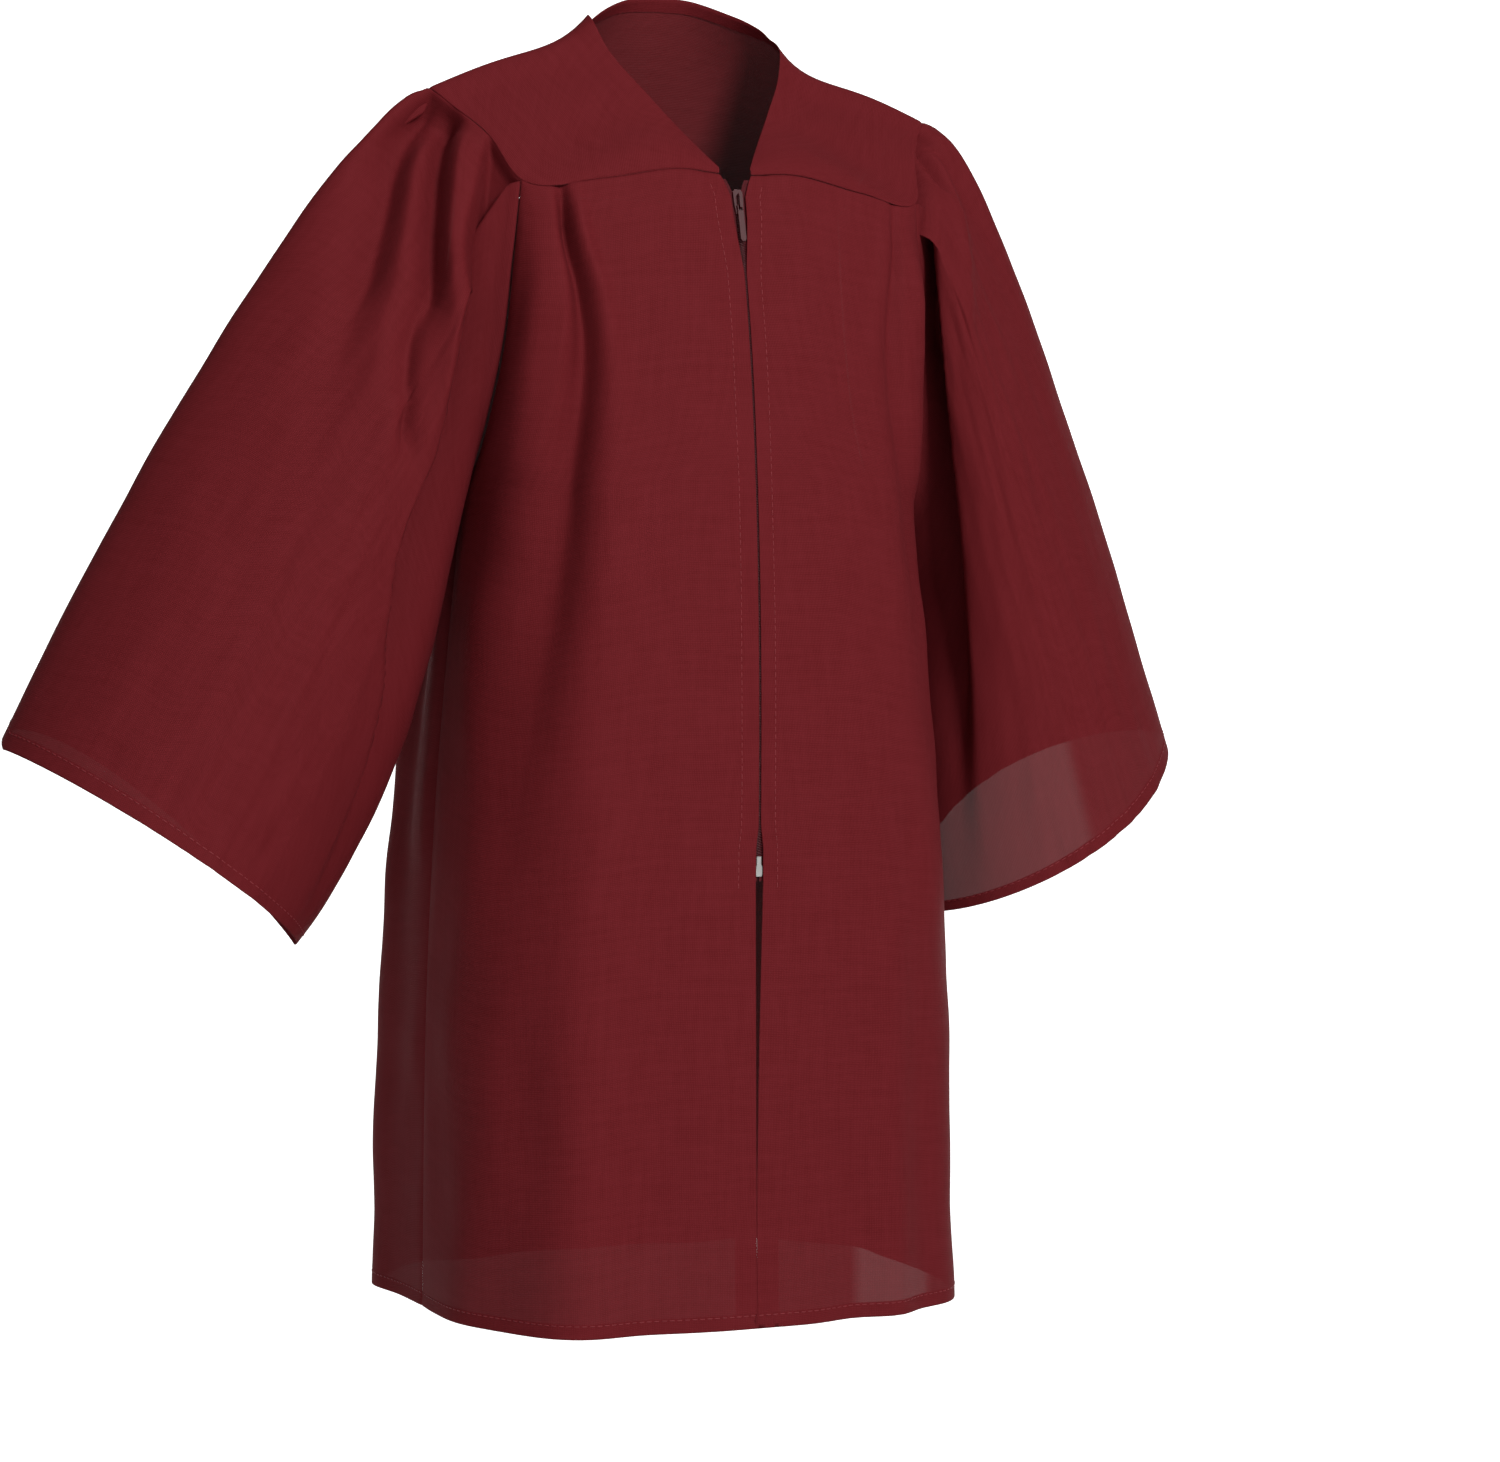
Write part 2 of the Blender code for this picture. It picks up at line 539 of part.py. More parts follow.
def wall(name, finish_name, outer, thick, closed=False, leans=(), given=()):
    """Closed cloth wall: the outer grid, the same grid moved in, and a rim round the edges."""
    out = normals(outer, closed)
    centre = outer.reshape(-1, 3).mean(axis=0) if not closed else outer.mean(axis=1, keepdims=True)
    if closed:
        sense = np.einsum("ijk,ijk->ij", out, outer - centre).mean()
    else:
        axis = np.array((0.0, 0.005, centre[2] - 0.06))
        sense = np.einsum("ijk,ijk->ij", out, outer - axis).mean()
    if sense < 0:
        out = -out
    for rows, cols, axis, sign in leans:
        lean(out, rows, cols, axis, sign)
    for rows, cols, vectors in given:
        out[rows, cols] = vectors
    inner = outer - out * np.broadcast_to(thick, outer.shape[:2])[..., None]
    rows, cols = outer.shape[:2]
    mesh = bmesh.new()
    outside = [[mesh.verts.new(p) for p in row] for row in outer.tolist()]
    inside = [[mesh.verts.new(p) for p in row] for row in inner.tolist()]
    last = cols if closed else cols - 1
    for i in range(rows - 1):
        for j in range(last):
            k = (j + 1) % cols
            for grid, order in ((outside, 1), (inside, -1)):
                a, b, c, d = grid[i][j], grid[i][k], grid[i + 1][k], grid[i + 1][j]
                for corners in ((a, b, c), (a, c, d)):
                    mesh.faces.new(corners[::order])
    edges = []
    for j in range(last):
        k = (j + 1) % cols
        edges.append(((0, k), (0, j)))
        edges.append(((rows - 1, j), (rows - 1, k)))
    if not closed:
        for i in range(rows - 1):
            edges.append(((i, 0), (i + 1, 0)))
            edges.append(((i + 1, cols - 1), (i, cols - 1)))
    for (ia, ja), (ib, jb) in edges:
        a, b = outside[ia][ja], outside[ib][jb]
        c, d = inside[ib][jb], inside[ia][ja]
        mesh.faces.new((a, b, c))
        mesh.faces.new((a, c, d))
    return add_object(name, finish_name, mesh)


def add_object(name, finish_name, mesh):
    """Turn a closed bmesh into a named object, faces pointing out."""
    bmesh.ops.recalc_face_normals(mesh, faces=mesh.faces)
    data = bpy.data.meshes.new(name)
    mesh.to_mesh(data)
    mesh.free()
    data.materials.append(finish(finish_name))
    thing = bpy.data.objects.new(name, data)
    bpy.context.collection.objects.link(thing)
    return thing


def hem_rows(heights):
    """Rows of a panel with two close rows where the turned hem starts."""
    top = HEM_Z + HEM_DEPTH
    return np.concatenate([heights, [top + SEAM_GAP, top, HEM_Z]])


def hem_thickness(z):
    """Wall thickness at each row: thicker where the hem is turned up inside."""
    return np.where(z <= HEM_Z + HEM_DEPTH + 1e-6, CLOTH + HEM_EXTRA, CLOTH)


def front_panel(side):
    """One front, from the zip edge to the armhole and the side seam."""
    across = np.array(FRONT_ACROSS)
    edge_z = hem_rows(np.concatenate([ARMHOLE_DOWN, SIDE_DOWN]))
    down = (edge_z - edge_z[0]) / (edge_z[-1] - edge_z[0])
    seam = front_seam(side, across)
    z = seam[None, :, 2] - SEAM_GAP + down[:, None] * (HEM_Z - seam[None, :, 2] + SEAM_GAP)
    z[-2] = HEM_Z + HEM_DEPTH
    z[-3] = HEM_Z + HEM_DEPTH + SEAM_GAP
    edge_turn = np.interp(edge_z, (UNDERARM_Z, -0.090), (0.5, FRONT_CORNER_TURN))
    girth = np.array([front_girth(height) for height in z[:, 0]])
    gap_turn = 0.5 * column_linear(FRONT_GAP, "gap", z[:, 0]) / girth
    side_turn = np.where(edge_z <= UNDERARM_Z + 1e-6, 0.5 - 0.25 * SEAM_GAP / girth, edge_turn)
    placed = panel_place("front", across[None], z)
    turn = gap_turn[:, None] + placed * (side_turn - gap_turn)[:, None]
    plain = body_points(side, turn, z)
    shift = np.zeros_like(plain)
    low = edge_z > UNDERARM_Z - 1e-6
    target = armhole_edge("front", side, edge_z[low])
    target[:, 2] = z[low, -1]
    shift[low] += smooth_step((placed[low] - 1.0 + HOLE_PULL) / HOLE_PULL)[..., None] * (target - plain[low, -1])[:, None]
    shift[low, :, 2] = 0.0
    top_pull = seam - (plain[0] + shift[0])
    top_pull[:, 2] = 0.0
    fade = (1.0 - smooth_step((edge_z[0] - edge_z) / SEAM_PULL))[:, None, None]
    points = body_panel("front", side, turn, z, shift + fade * top_pull[None], placed)
    points[0] = seam - (0.0, 0.0, SEAM_GAP)
    points[low, -1, :2] = target[:, :2]
    points[..., 2] -= HEM_TILT * points[..., 0] * down[:, None] ** 2
    holes, seams = slice(0, len(ARMHOLE_DOWN)), slice(len(ARMHOLE_DOWN) - 1, None)
    leans = ((holes, -1, 0, side), (seams, -1, 1, 1))
    given = ((0, slice(None), seam_normals(side, across * FRONT_CORNER)),)
    return wall("front_left" if side > 0 else "front_right", "gown_cloth", points,
                hem_thickness(z), leans=leans, given=given)


def column_linear(table, name, at):
    """One column of a table read with straight lines between its rows."""
    keys, values = np.asarray(table["z"]), np.asarray(table[name])
    order = np.argsort(keys)
    return np.interp(at, keys[order], values[order])


def front_seam(side, across):
    """Yoke seam of a front at shares of its width."""
    return yoke_edge(side, np.asarray(across) * FRONT_CORNER)


def back_places():
    """Places of the yoke's edge where the back has a column."""
    return BACK_CORNER + np.array(BACK_ACROSS) * (1.0 - BACK_CORNER)


def back_half(side):
    """Points of one half of the back, from the side to the centre back."""
    across = np.array(BACK_ACROSS)
    low_z = back_heights(np.array(ARMHOLE_DOWN))
    edge_z = hem_rows(np.concatenate([low_z, SIDE_DOWN]))
    down = (edge_z - edge_z[0]) / (edge_z[-1] - edge_z[0])
    seam = yoke_edge(side, back_places())
    z = seam[None, :, 2] - SEAM_GAP + down[:, None] * (HEM_Z - seam[None, :, 2] + SEAM_GAP)
    z[-2] = HEM_Z + HEM_DEPTH
    z[-3] = HEM_Z + HEM_DEPTH + SEAM_GAP
    girth = np.array([front_girth(height) for height in z[:, 0]])
    edge_turn = np.interp(edge_z, (UNDERARM_Z, -0.088), (0.5, BACK_CORNER_TURN))
    side_turn = np.where(edge_z <= UNDERARM_Z + 1e-6, 0.5 + 0.25 * SEAM_GAP / girth, edge_turn)
    turn = side_turn[:, None] + across[None] * (1.0 - side_turn)[:, None]
    plain = body_points(side, turn, z)
    shift = np.zeros_like(plain)
    low = edge_z > UNDERARM_Z - 1e-6
    target = armhole_edge("back", side, edge_z[low])
    shift[low] += smooth_step((HOLE_PULL - across) / HOLE_PULL)[None, :, None] * (target - plain[low, 0])[:, None]
    shift[low, :, 2] = 0.0
    top_pull = seam - (plain[0] + shift[0])
    top_pull[:, 2] = 0.0
    fade = (1.0 - smooth_step((edge_z[0] - edge_z) / SEAM_PULL))[:, None, None]
    placed = panel_place("back", across[None], z)
    points = body_panel("back", side, turn, z, shift + fade * top_pull[None], placed)
    points[0] = seam - (0.0, 0.0, SEAM_GAP)
    points[low, 0, :2] = target[:, :2]
    points[:, -1, 0] = 0.0
    points[..., 2] -= HEM_TILT * points[..., 0] * down[:, None] ** 2
    return points, hem_thickness(z)


def back_panel():
    """The whole back, both halves in one wall."""
    left, thick = back_half(1)
    right, _ = back_half(-1)
    points = np.concatenate([right, left[:, ::-1][:, 1:]], axis=1)
    thickness = np.concatenate([thick, thick[:, ::-1][:, 1:]], axis=1)
    holes, seams = slice(0, len(ARMHOLE_DOWN)), slice(len(ARMHOLE_DOWN) - 1, None)
    leans = ((holes, 0, 0, -1), (holes, -1, 0, 1), (seams, 0, 1, -1), (seams, -1, 1, -1))
    places = back_places()
    along = np.concatenate([seam_normals(-1, places), seam_normals(1, places)[::-1][1:]])
    return wall("back", "gown_cloth", points, thickness, leans=leans, given=((0, slice(None), along),))


def yoke():
    """The yoke in one wall: from one front round the back of the neck to the other."""
    front, back = np.array(FRONT_ACROSS) * FRONT_CORNER, back_places()
    places = np.concatenate([front, sleeve_head_places()[1:-1], back])
    across = np.linspace(0.0, 1.0, YOKE_ACROSS) ** 1.15
    points = np.concatenate([yoke_half(-1, places, across), yoke_half(1, places, across)[::-1][1:]], axis=0)
    shoulder = shoulder_normals()[1:-1]
    rims = [np.concatenate([seam_normals(side, front), shoulder, seam_normals(side, back)]) for side in (-1, 1)]
    rim = np.concatenate([rims[0], rims[1][::-1][1:]])
    return wall("yoke", "gown_cloth", points, CLOTH, given=((slice(None), -1, rim),))


def sleeve(side):
    """One bell sleeve with its turned cuff hem."""
    down = np.concatenate([SLEEVE_DOWN, [1.0 - (HEM_DEPTH + SEAM_GAP) / SLEEVE_LENGTH,
                                         1.0 - HEM_DEPTH / SLEEVE_LENGTH, 1.0]])
    points = sleeve_grid(side, down)
    thick = np.full(points.shape[:2], CLOTH)
    thick[-2:] = CLOTH + HEM_EXTRA
    front, edge = len(ARMHOLE_DOWN) - 1, shoulder_normals()
    return wall("sleeve_left" if side > 0 else "sleeve_right", "gown_cloth", points, thick,
                closed=True, leans=((0, slice(None), 0, -side),),
                given=((0, slice(front, front + len(edge)), edge),))


def front_line(side, off, z):
    """A point of the front's outer face, off metres from the centre front line."""
    girth = np.array([front_girth(height) for height in np.atleast_1d(z)])
    turn = 0.5 * np.asarray(off) / girth
    return body_points(side, turn, z)


def zip_tape(side):
    """One zip tape, against the inside of a front beside the opening."""
    z = np.array([TAPE_TOP_Z, -0.0885, -0.0915, -0.096, -0.104, -0.112, -0.120, -0.132, -0.165,
                  -0.205, -0.250, -0.300, -0.350, -0.400, -0.418, TAPE_FOOT_Z])
    inner = np.maximum(column_linear(FRONT_GAP, "gap", z) - 0.0016, TAPE_EDGE)
    inner = np.where(z < -0.130, TAPE_EDGE, inner)
    share = np.linspace(0.0, 1.0, 4)
    rows = []
    for height, edge in zip(z, inner):
        off = edge + share * (TAPE_WIDTH - TAPE_EDGE)
        rows.append(front_line(side, off, np.full(4, height)))
    outer = np.array(rows)
    out = normals(outer)
    out = np.where((out[..., 1] > 0)[..., None], -out, out)
    outer = outer - out * (CLOTH + SEAM_GAP)
    return wall("zip_tape_left" if side > 0 else "zip_tape_right", "zip_tape_cloth", outer, TAPE_THICK)


def zip_frame():
    """Place, down direction and outward direction of the slider on the front."""
    top, foot = body_points(1, [0.0, 0.0], [SLIDER_Z + 0.006, SLIDER_Z - 0.022])
    down = (foot - top) / np.linalg.norm(foot - top)
    down[0] = 0.0
    place = body_points(1, [0.0], [SLIDER_Z])[0]
    place[0] = 0.0
    out = np.array((0.0, down[2], -down[1]))
    return place, down, out


def plate(outline, thick, start):
    """Closed plate from an outline of (across, down) points, start to start + thick outwards."""
    mesh = bmesh.new()
    low = [mesh.verts.new(local_point(a, d, start)) for a, d in outline]
    high = [mesh.verts.new(local_point(a, d, start + thick)) for a, d in outline]
    mesh.faces.new(low)
    mesh.faces.new(high[::-1])
    for i in range(len(low)):
        k = (i + 1) % len(low)
        mesh.faces.new((low[i], low[k], high[k], high[i]))
    return mesh


def local_point(across, down, out):
    """A point of the slider's own frame in the garment's frame."""
    place, down_axis, out_axis = zip_frame()
    return place + np.array((across, 0.0, 0.0)) + down * down_axis + out * out_axis


def united(name, finish_name, parts):
    """Join closed shapes into one body with Boolean unions, then apply them."""
    base = add_object(name, finish_name, parts[0])
    for extra in parts[1:]:
        tool = add_object(name + "_tool", finish_name, extra)
        cut = base.modifiers.new("join", "BOOLEAN")
        cut.operation = "UNION"
        cut.object = tool
        flat = bpy.data.meshes.new_from_object(base.evaluated_get(bpy.context.evaluated_depsgraph_get()))
        base.modifiers.clear()
        old = base.data
        base.data = flat
        bpy.data.meshes.remove(old)
        bpy.data.objects.remove(tool, do_unlink=True)
    base.data.name = name
    return base


def slider():
    """Zip slider: front and back plates on a post, with a bridge for the pull tab."""
    wide, taper, half = SLIDER_WIDE / 2, SLIDER_TAPER / 2, SLIDER_HIGH / 2
    outline = [(-wide, -half + 0.0012), (-wide + 0.0010, -half), (wide - 0.0010, -half),
               (wide, -half + 0.0012), (wide, 0.0), (taper, half), (-taper, half), (-wide, 0.0)]
    tape_back = CLOTH + SEAM_GAP + TAPE_THICK
    front_plate = plate(outline, SLIDER_PLATE, -SLIDER_PLATE - 0.0001)
    back_plate = plate(outline, SLIDER_PLATE, -tape_back - SEAM_GAP - SLIDER_PLATE)
    post_half = SLIDER_POST / 2
    post = plate([(-post_half, -half + 0.0006), (post_half, -half + 0.0006), (post_half, -0.0010),
                  (-post_half, -0.0010)], tape_back + SEAM_GAP, -tape_back - SEAM_GAP - 0.0005)
    legs = []
    bridge_half, reach = BRIDGE_WIDE / 2, BRIDGE_HIGH / 2
    leg_half, leg_end = bridge_half - FACE_STEP, reach - FACE_STEP
    for sign in (-1, 1):
        near, far = sign * leg_end, sign * (leg_end - BRIDGE_BAR)
        legs.append(plate([(-leg_half, min(near, far)), (leg_half, min(near, far)),
                           (leg_half, max(near, far)), (-leg_half, max(near, far))],
                          BRIDGE_OUT, -0.0005))
    top = plate([(-bridge_half, -reach), (bridge_half, -reach), (bridge_half, reach), (-bridge_half, reach)],
                BRIDGE_BAR, BRIDGE_OUT - 0.0005 - 0.0002)
    return united("zip_slider", "lacquered_zip_metal", [front_plate, back_plate, post, *legs, top])


def hinge_place():
    """Centre of the pull tab's pin, under the bridge near its foot."""
    down = BRIDGE_HIGH / 2 - BRIDGE_BAR - SEAM_GAP - PIN_RADIUS
    return down, 0.5 * (BRIDGE_OUT - 0.0007)


def pull_tab():
    """Pull tab: a pin under the bridge, two arms beside it and a flat tongue."""
    down0, out0 = hinge_place()
    pin = bmesh.new()
    sides = 8
    half = TAB_WIDE / 2
    rings = []
    pin_half = half - 2 * FACE_STEP
    for across in (-pin_half, pin_half):
        rings.append([pin.verts.new(local_point(across, down0 + PIN_RADIUS * math.cos(math.tau * k / sides),
                                                out0 + PIN_RADIUS * math.sin(math.tau * k / sides)))
                      for k in range(sides)])
    pin.faces.new(rings[0])
    pin.faces.new(rings[1][::-1])
    for k in range(sides):
        n = (k + 1) % sides
        pin.faces.new((rings[0][k], rings[0][n], rings[1][n], rings[1][k]))
    start = out0 - TAB_THICK / 2
    arm_in = BRIDGE_WIDE / 2 + 0.00035
    arm_out = half - FACE_STEP
    arms = [plate([(s * arm_in, down0 - 0.0003), (s * arm_out, down0 - 0.0003),
                   (s * arm_out, down0 + TAB_EYE + 0.0006), (s * arm_in, down0 + TAB_EYE + 0.0006)],
                  TAB_THICK - 2 * FACE_STEP, start + FACE_STEP) for s in (-1, 1)]
    foot = down0 + TAB_LONG
    tongue = plate([(-half, down0 + TAB_EYE), (half, down0 + TAB_EYE), (half, foot - 0.0012),
                    (half - 0.0008, foot), (-half + 0.0008, foot), (-half, foot - 0.0012)],
                   TAB_THICK, start)
    return united("zip_pull_tab", "lacquered_zip_metal", [tongue, *arms, pin])


def bottom_stop():
    """Metal clip that closes the foot of the zip, narrow above and wide below."""
    z = np.array([STOP_Z + STOP_HIGH / 2, STOP_Z + 0.001, STOP_Z, STOP_Z - STOP_HIGH / 2 + 0.001,
                  STOP_Z - STOP_HIGH / 2])
    half = np.array([STOP_NECK, STOP_NECK, STOP_WIDE, STOP_WIDE, STOP_WIDE - 0.0008]) / 2
    line = body_points(1, np.zeros(5), z)
    front_y = line[:, 1] + 0.0001
    mesh = bmesh.new()
    loops = []
    for height, wide, y, x in zip(z, half, front_y, line[:, 0]):
        ring = [(x - wide, y + STOP_THICK, height), (x - wide, y + 0.0003, height), (x - wide + 0.0004, y, height),
                (x + wide - 0.0004, y, height), (x + wide, y + 0.0003, height), (x + wide, y + STOP_THICK, height)]
        loops.append([mesh.verts.new(p) for p in ring])
    mesh.faces.new(loops[0])
    mesh.faces.new(loops[-1][::-1])
    for upper, lower in zip(loops, loops[1:]):
        for k in range(6):
            n = (k + 1) % 6
            mesh.faces.new((upper[k], lower[k], lower[n], upper[n]))
    return add_object("zip_bottom_stop", "bare_zip_metal", mesh)


def build():
    """Make every piece of the gown."""
    clear_scene()
    yoke()
    for side in (-1, 1):
        front_panel(side)
        sleeve(side)
        zip_tape(side)
    back_panel()
    slider()
    pull_tab()
    bottom_stop()
    for thing in bpy.data.objects:
        thing.data.shade_smooth()
        thing.data.set_sharp_from_angle(angle=math.radians(50))


build()
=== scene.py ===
# %% [markdown]
# A child's graduation gown
#
# The gown is sewn from six pieces of light burgundy cloth, a yoke, two fronts, a back and two
# bell sleeves, round a covered zip. Nobody wears it here, but it is filled out as if worn.
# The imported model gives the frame, and this script dresses it: thin cloth with its pleats,
# hems and stitching, the zip's teeth, the finishes, the light and the camera.

# %% Load the frame
import math

import bmesh
import bpy
import numpy as np
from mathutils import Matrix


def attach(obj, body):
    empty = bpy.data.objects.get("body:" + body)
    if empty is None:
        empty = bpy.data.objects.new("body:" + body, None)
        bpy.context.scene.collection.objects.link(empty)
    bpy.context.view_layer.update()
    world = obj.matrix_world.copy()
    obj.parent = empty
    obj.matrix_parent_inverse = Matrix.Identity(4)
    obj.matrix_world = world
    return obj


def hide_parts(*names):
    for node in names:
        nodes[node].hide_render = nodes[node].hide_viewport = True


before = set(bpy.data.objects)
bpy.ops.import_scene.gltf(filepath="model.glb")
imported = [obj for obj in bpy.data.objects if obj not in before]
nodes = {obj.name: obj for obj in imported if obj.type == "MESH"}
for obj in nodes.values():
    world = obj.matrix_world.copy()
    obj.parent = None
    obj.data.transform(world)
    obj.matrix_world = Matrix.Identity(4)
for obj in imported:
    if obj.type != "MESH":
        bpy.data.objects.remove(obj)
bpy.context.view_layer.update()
print("nodes:", sorted(nodes))

# %% [markdown]
# Colours are written as the hex values that a colour picker shows, which are sRGB. Shaders
# work in linear light, so one function converts them. The others add a node with its settings
# and links, start a material, mix its two colours and raise its surface, and speckle it. That
# keeps each material short to read.

# %% Helpers for colours and nodes


def linear(hex_value):
    """sRGB hex colour to linear RGBA."""
    parts = [int(hex_value[i:i + 2], 16) / 255 for i in (1, 3, 5)]
    parts = [p / 12.92 if p <= 0.04045 else ((p + 0.055) / 1.055) ** 2.4 for p in parts]
    return (*parts, 1.0)


def add_node(material, kind, settings=None, values=None, links=None):
    """Add one node: settings are its properties, values its sockets, links {socket: output}."""
    node = material.node_tree.nodes.new(kind)
    for name, value in (settings or {}).items():
        setattr(node, name, value)
    for name, value in (values or {}).items():
        node.inputs[name].default_value = value
    for name, output in (links or {}).items():
        material.node_tree.links.new(output, node.inputs[name])
    return node


def new_material(name, values):
    """A material with a Principled shader whose constants are set on its own sockets."""
    material = bpy.data.materials.new(name)
    material.use_nodes = True
    shader = material.node_tree.nodes["Principled BSDF"]
    for socket, value in values.items():
        shader.inputs[socket].default_value = value
    return material, shader


def colour_and_relief(material, shader, colours, factor, height, strength, distance):
    """Mix two colours by one output, and raise the surface by another."""
    mix = add_node(material, "ShaderNodeMix", {"data_type": "RGBA"},
                   {"A": linear(colours[0]), "B": linear(colours[1])}, {"Factor": factor})
    bump = add_node(material, "ShaderNodeBump", {}, {"Strength": strength, "Distance": distance},
                    {"Height": height})
    material.node_tree.links.new(mix.outputs["Result"], shader.inputs["Base Color"])
    material.node_tree.links.new(bump.outputs["Normal"], shader.inputs["Normal"])


def mottled(material, shader, colours, grain, strength):
    """Vary a finish between two colours in fine spots, grain of them to a metre."""
    place = add_node(material, "ShaderNodeTexCoord").outputs["Object"]
    spots = add_node(material, "ShaderNodeTexNoise", {}, {"Scale": grain, "Detail": 2.0},
                     {"Vector": place}).outputs["Fac"]
    colour_and_relief(material, shader, colours, spots, spots, strength, 0.0001)


# %% [markdown]
# Three helpers for shapes. The first measures how far each point of a grid lies along it, in
# metres, which gives hems, stitches and the weave their true sizes. The second reads a line
# of points between its points, and the third turns a mesh into a smooth piece of the scene.

# %% Helpers for grids and meshes


def run_length(points, axis=0):
    """Length along one axis of a grid of points, from 0 at its start."""
    steps = np.linalg.norm(np.diff(points, axis=axis), axis=-1)
    start = np.zeros_like(np.take(steps, [0], axis=axis))
    return np.concatenate([start, np.cumsum(steps, axis=axis)], axis=axis)


def points_at(at, places, points):
    """Points read at places of a line of points, straight between them."""
    return np.stack([np.interp(at, places, points[:, axis]) for axis in range(3)], axis=-1)


def add_piece(name, mesh, material):
    """Shade a mesh smooth, give it its material and put it in the scene."""
    mesh.polygons.foreach_set("use_smooth", np.ones(len(mesh.polygons), dtype=bool))
    mesh.materials.append(material)
    mesh.update()
    piece = bpy.data.objects.new(name, mesh)
    bpy.context.collection.objects.link(piece)
    return piece


# %% [markdown]
# Woven polyester, the gown's cloth. Filament yarn in a plain weave of about 0.25 mm threads
# gives a matte cloth with a faint sheen where it turns away from the eye, and it is thin
# enough to let a little light through one layer. The threads are too fine to show at this
# distance, so the weave is drawn at 0.9 mm, with soft slubs along both thread directions.
# The UV map of each piece is in metres along its own warp and weft, so the weave turns with
# the cut of the piece, as on the real gown.

# %% Woven polyester
THREAD = 0.0009
SLUB = 0.0035
SLUB_STRETCH = 0.12
WAVE_SCALE = 0.314
COVER = 0.997
SHEER_COVER = 0.981
CLOTH_DARK = "#63191D"
CLOTH_LIGHT = "#74242A"


def woven_polyester(name, dark, light, weave):
    """Matte plain-weave cloth; its sheer attribute says where light comes through one layer."""
    material, shader = new_material(name, {
        "Roughness": 0.72, "IOR": 1.5, "Specular IOR Level": 0.05,
        "Sheen Weight": 0.04, "Sheen Roughness": 0.45, "Sheen Tint": linear("#C4565E"),
    })
    place = add_node(material, "ShaderNodeUVMap", {"uv_map": "cut"}).outputs["UV"]
    waves, streaks = [], []
    for direction, stretch in (("X", (1.0, SLUB_STRETCH, 1.0)), ("Y", (SLUB_STRETCH, 1.0, 1.0))):
        wave = add_node(material, "ShaderNodeTexWave",
                        {"bands_direction": direction, "wave_profile": "SIN"},
                        {"Scale": WAVE_SCALE / weave, "Distortion": 0.6, "Detail": 1.0,
                         "Detail Scale": 1.5}, {"Vector": place})
        stretched = add_node(material, "ShaderNodeMapping", {}, {"Scale": stretch}, {"Vector": place})
        streak = add_node(material, "ShaderNodeTexNoise", {}, {"Scale": 1 / SLUB, "Detail": 3.0},
                          {"Vector": stretched.outputs["Vector"]})
        waves.append(wave.outputs["Fac"])
        streaks.append(streak.outputs["Fac"])
    threads = add_node(material, "ShaderNodeMath", {"operation": "MULTIPLY"},
                       links={0: waves[0], 1: waves[1]})
    slubs = add_node(material, "ShaderNodeMath", {"operation": "ADD"},
                     links={0: streaks[0], 1: streaks[1]})
    grain = add_node(material, "ShaderNodeMath", {"operation": "MULTIPLY_ADD"}, {1: 0.5},
                     {0: slubs.outputs[0], 2: threads.outputs[0]})
    shade = add_node(material, "ShaderNodeMapRange", {}, {"From Min": 0.35, "From Max": 1.15},
                     {"Value": grain.outputs[0]})
    colour_and_relief(material, shader, (dark, light), shade.outputs["Result"],
                      grain.outputs[0], 0.30, 0.00025)
    sheer = add_node(material, "ShaderNodeAttribute", {"attribute_name": "sheer"})
    cover = add_node(material, "ShaderNodeMapRange", {}, {"To Min": COVER, "To Max": SHEER_COVER},
                     {"Value": sheer.outputs["Fac"]})
    material.node_tree.links.new(cover.outputs["Result"], shader.inputs["Alpha"])
    return material


polyester = woven_polyester("woven polyester, burgundy", CLOTH_DARK, CLOTH_LIGHT, THREAD)
print("made", polyester.name)

# %% [markdown]
# Polyester thread. It is spun tighter than the cloth's yarn, so it is a touch glossier and
# lighter, and each stitch catches the light as a small bead.

# %% Sewing thread
thread, thread_shader = new_material("spun polyester thread, burgundy", {
    "Roughness": 0.5, "IOR": 1.5, "Specular IOR Level": 0.3,
})
mottled(thread, thread_shader, ("#7C2228", "#903238"), 1 / 0.0005, 0.15)

# %% [markdown]
# Zip tape is a thick twill tape. Its cords run along it, so a wave across the tape, about
# 0.8 mm from cord to cord, gives its ribs. The node's own coordinates are in metres.

# %% Twill zip tape
RIB = 0.0008
tape_cloth, tape_shader = new_material("twill zip tape, burgundy", {
    "Roughness": 0.8, "IOR": 1.5, "Specular IOR Level": 0.15, "Sheen Weight": 0.05,
})
tape_place = add_node(tape_cloth, "ShaderNodeTexCoord").outputs["Object"]
tape_ribs = add_node(tape_cloth, "ShaderNodeTexWave", {"bands_direction": "X"},
                     {"Scale": WAVE_SCALE / RIB, "Distortion": 0.4}, {"Vector": tape_place})
tape_grain = add_node(tape_cloth, "ShaderNodeTexNoise", {}, {"Scale": 900.0, "Detail": 2.0},
                      {"Vector": tape_place})
colour_and_relief(tape_cloth, tape_shader, ("#451318", "#621F25"), tape_grain.outputs["Fac"],
                  tape_ribs.outputs["Fac"], 0.5, 0.0002)

# %% [markdown]
# The slider and its pull tab are cast zinc, sprayed with burgundy lacquer. Lacquer over metal
# is a satin coat over colour: a dielectric base with a clear coat, worn a little lighter
# where fingers rub it. The noise is about as coarse as the sprayed coat's orange peel.

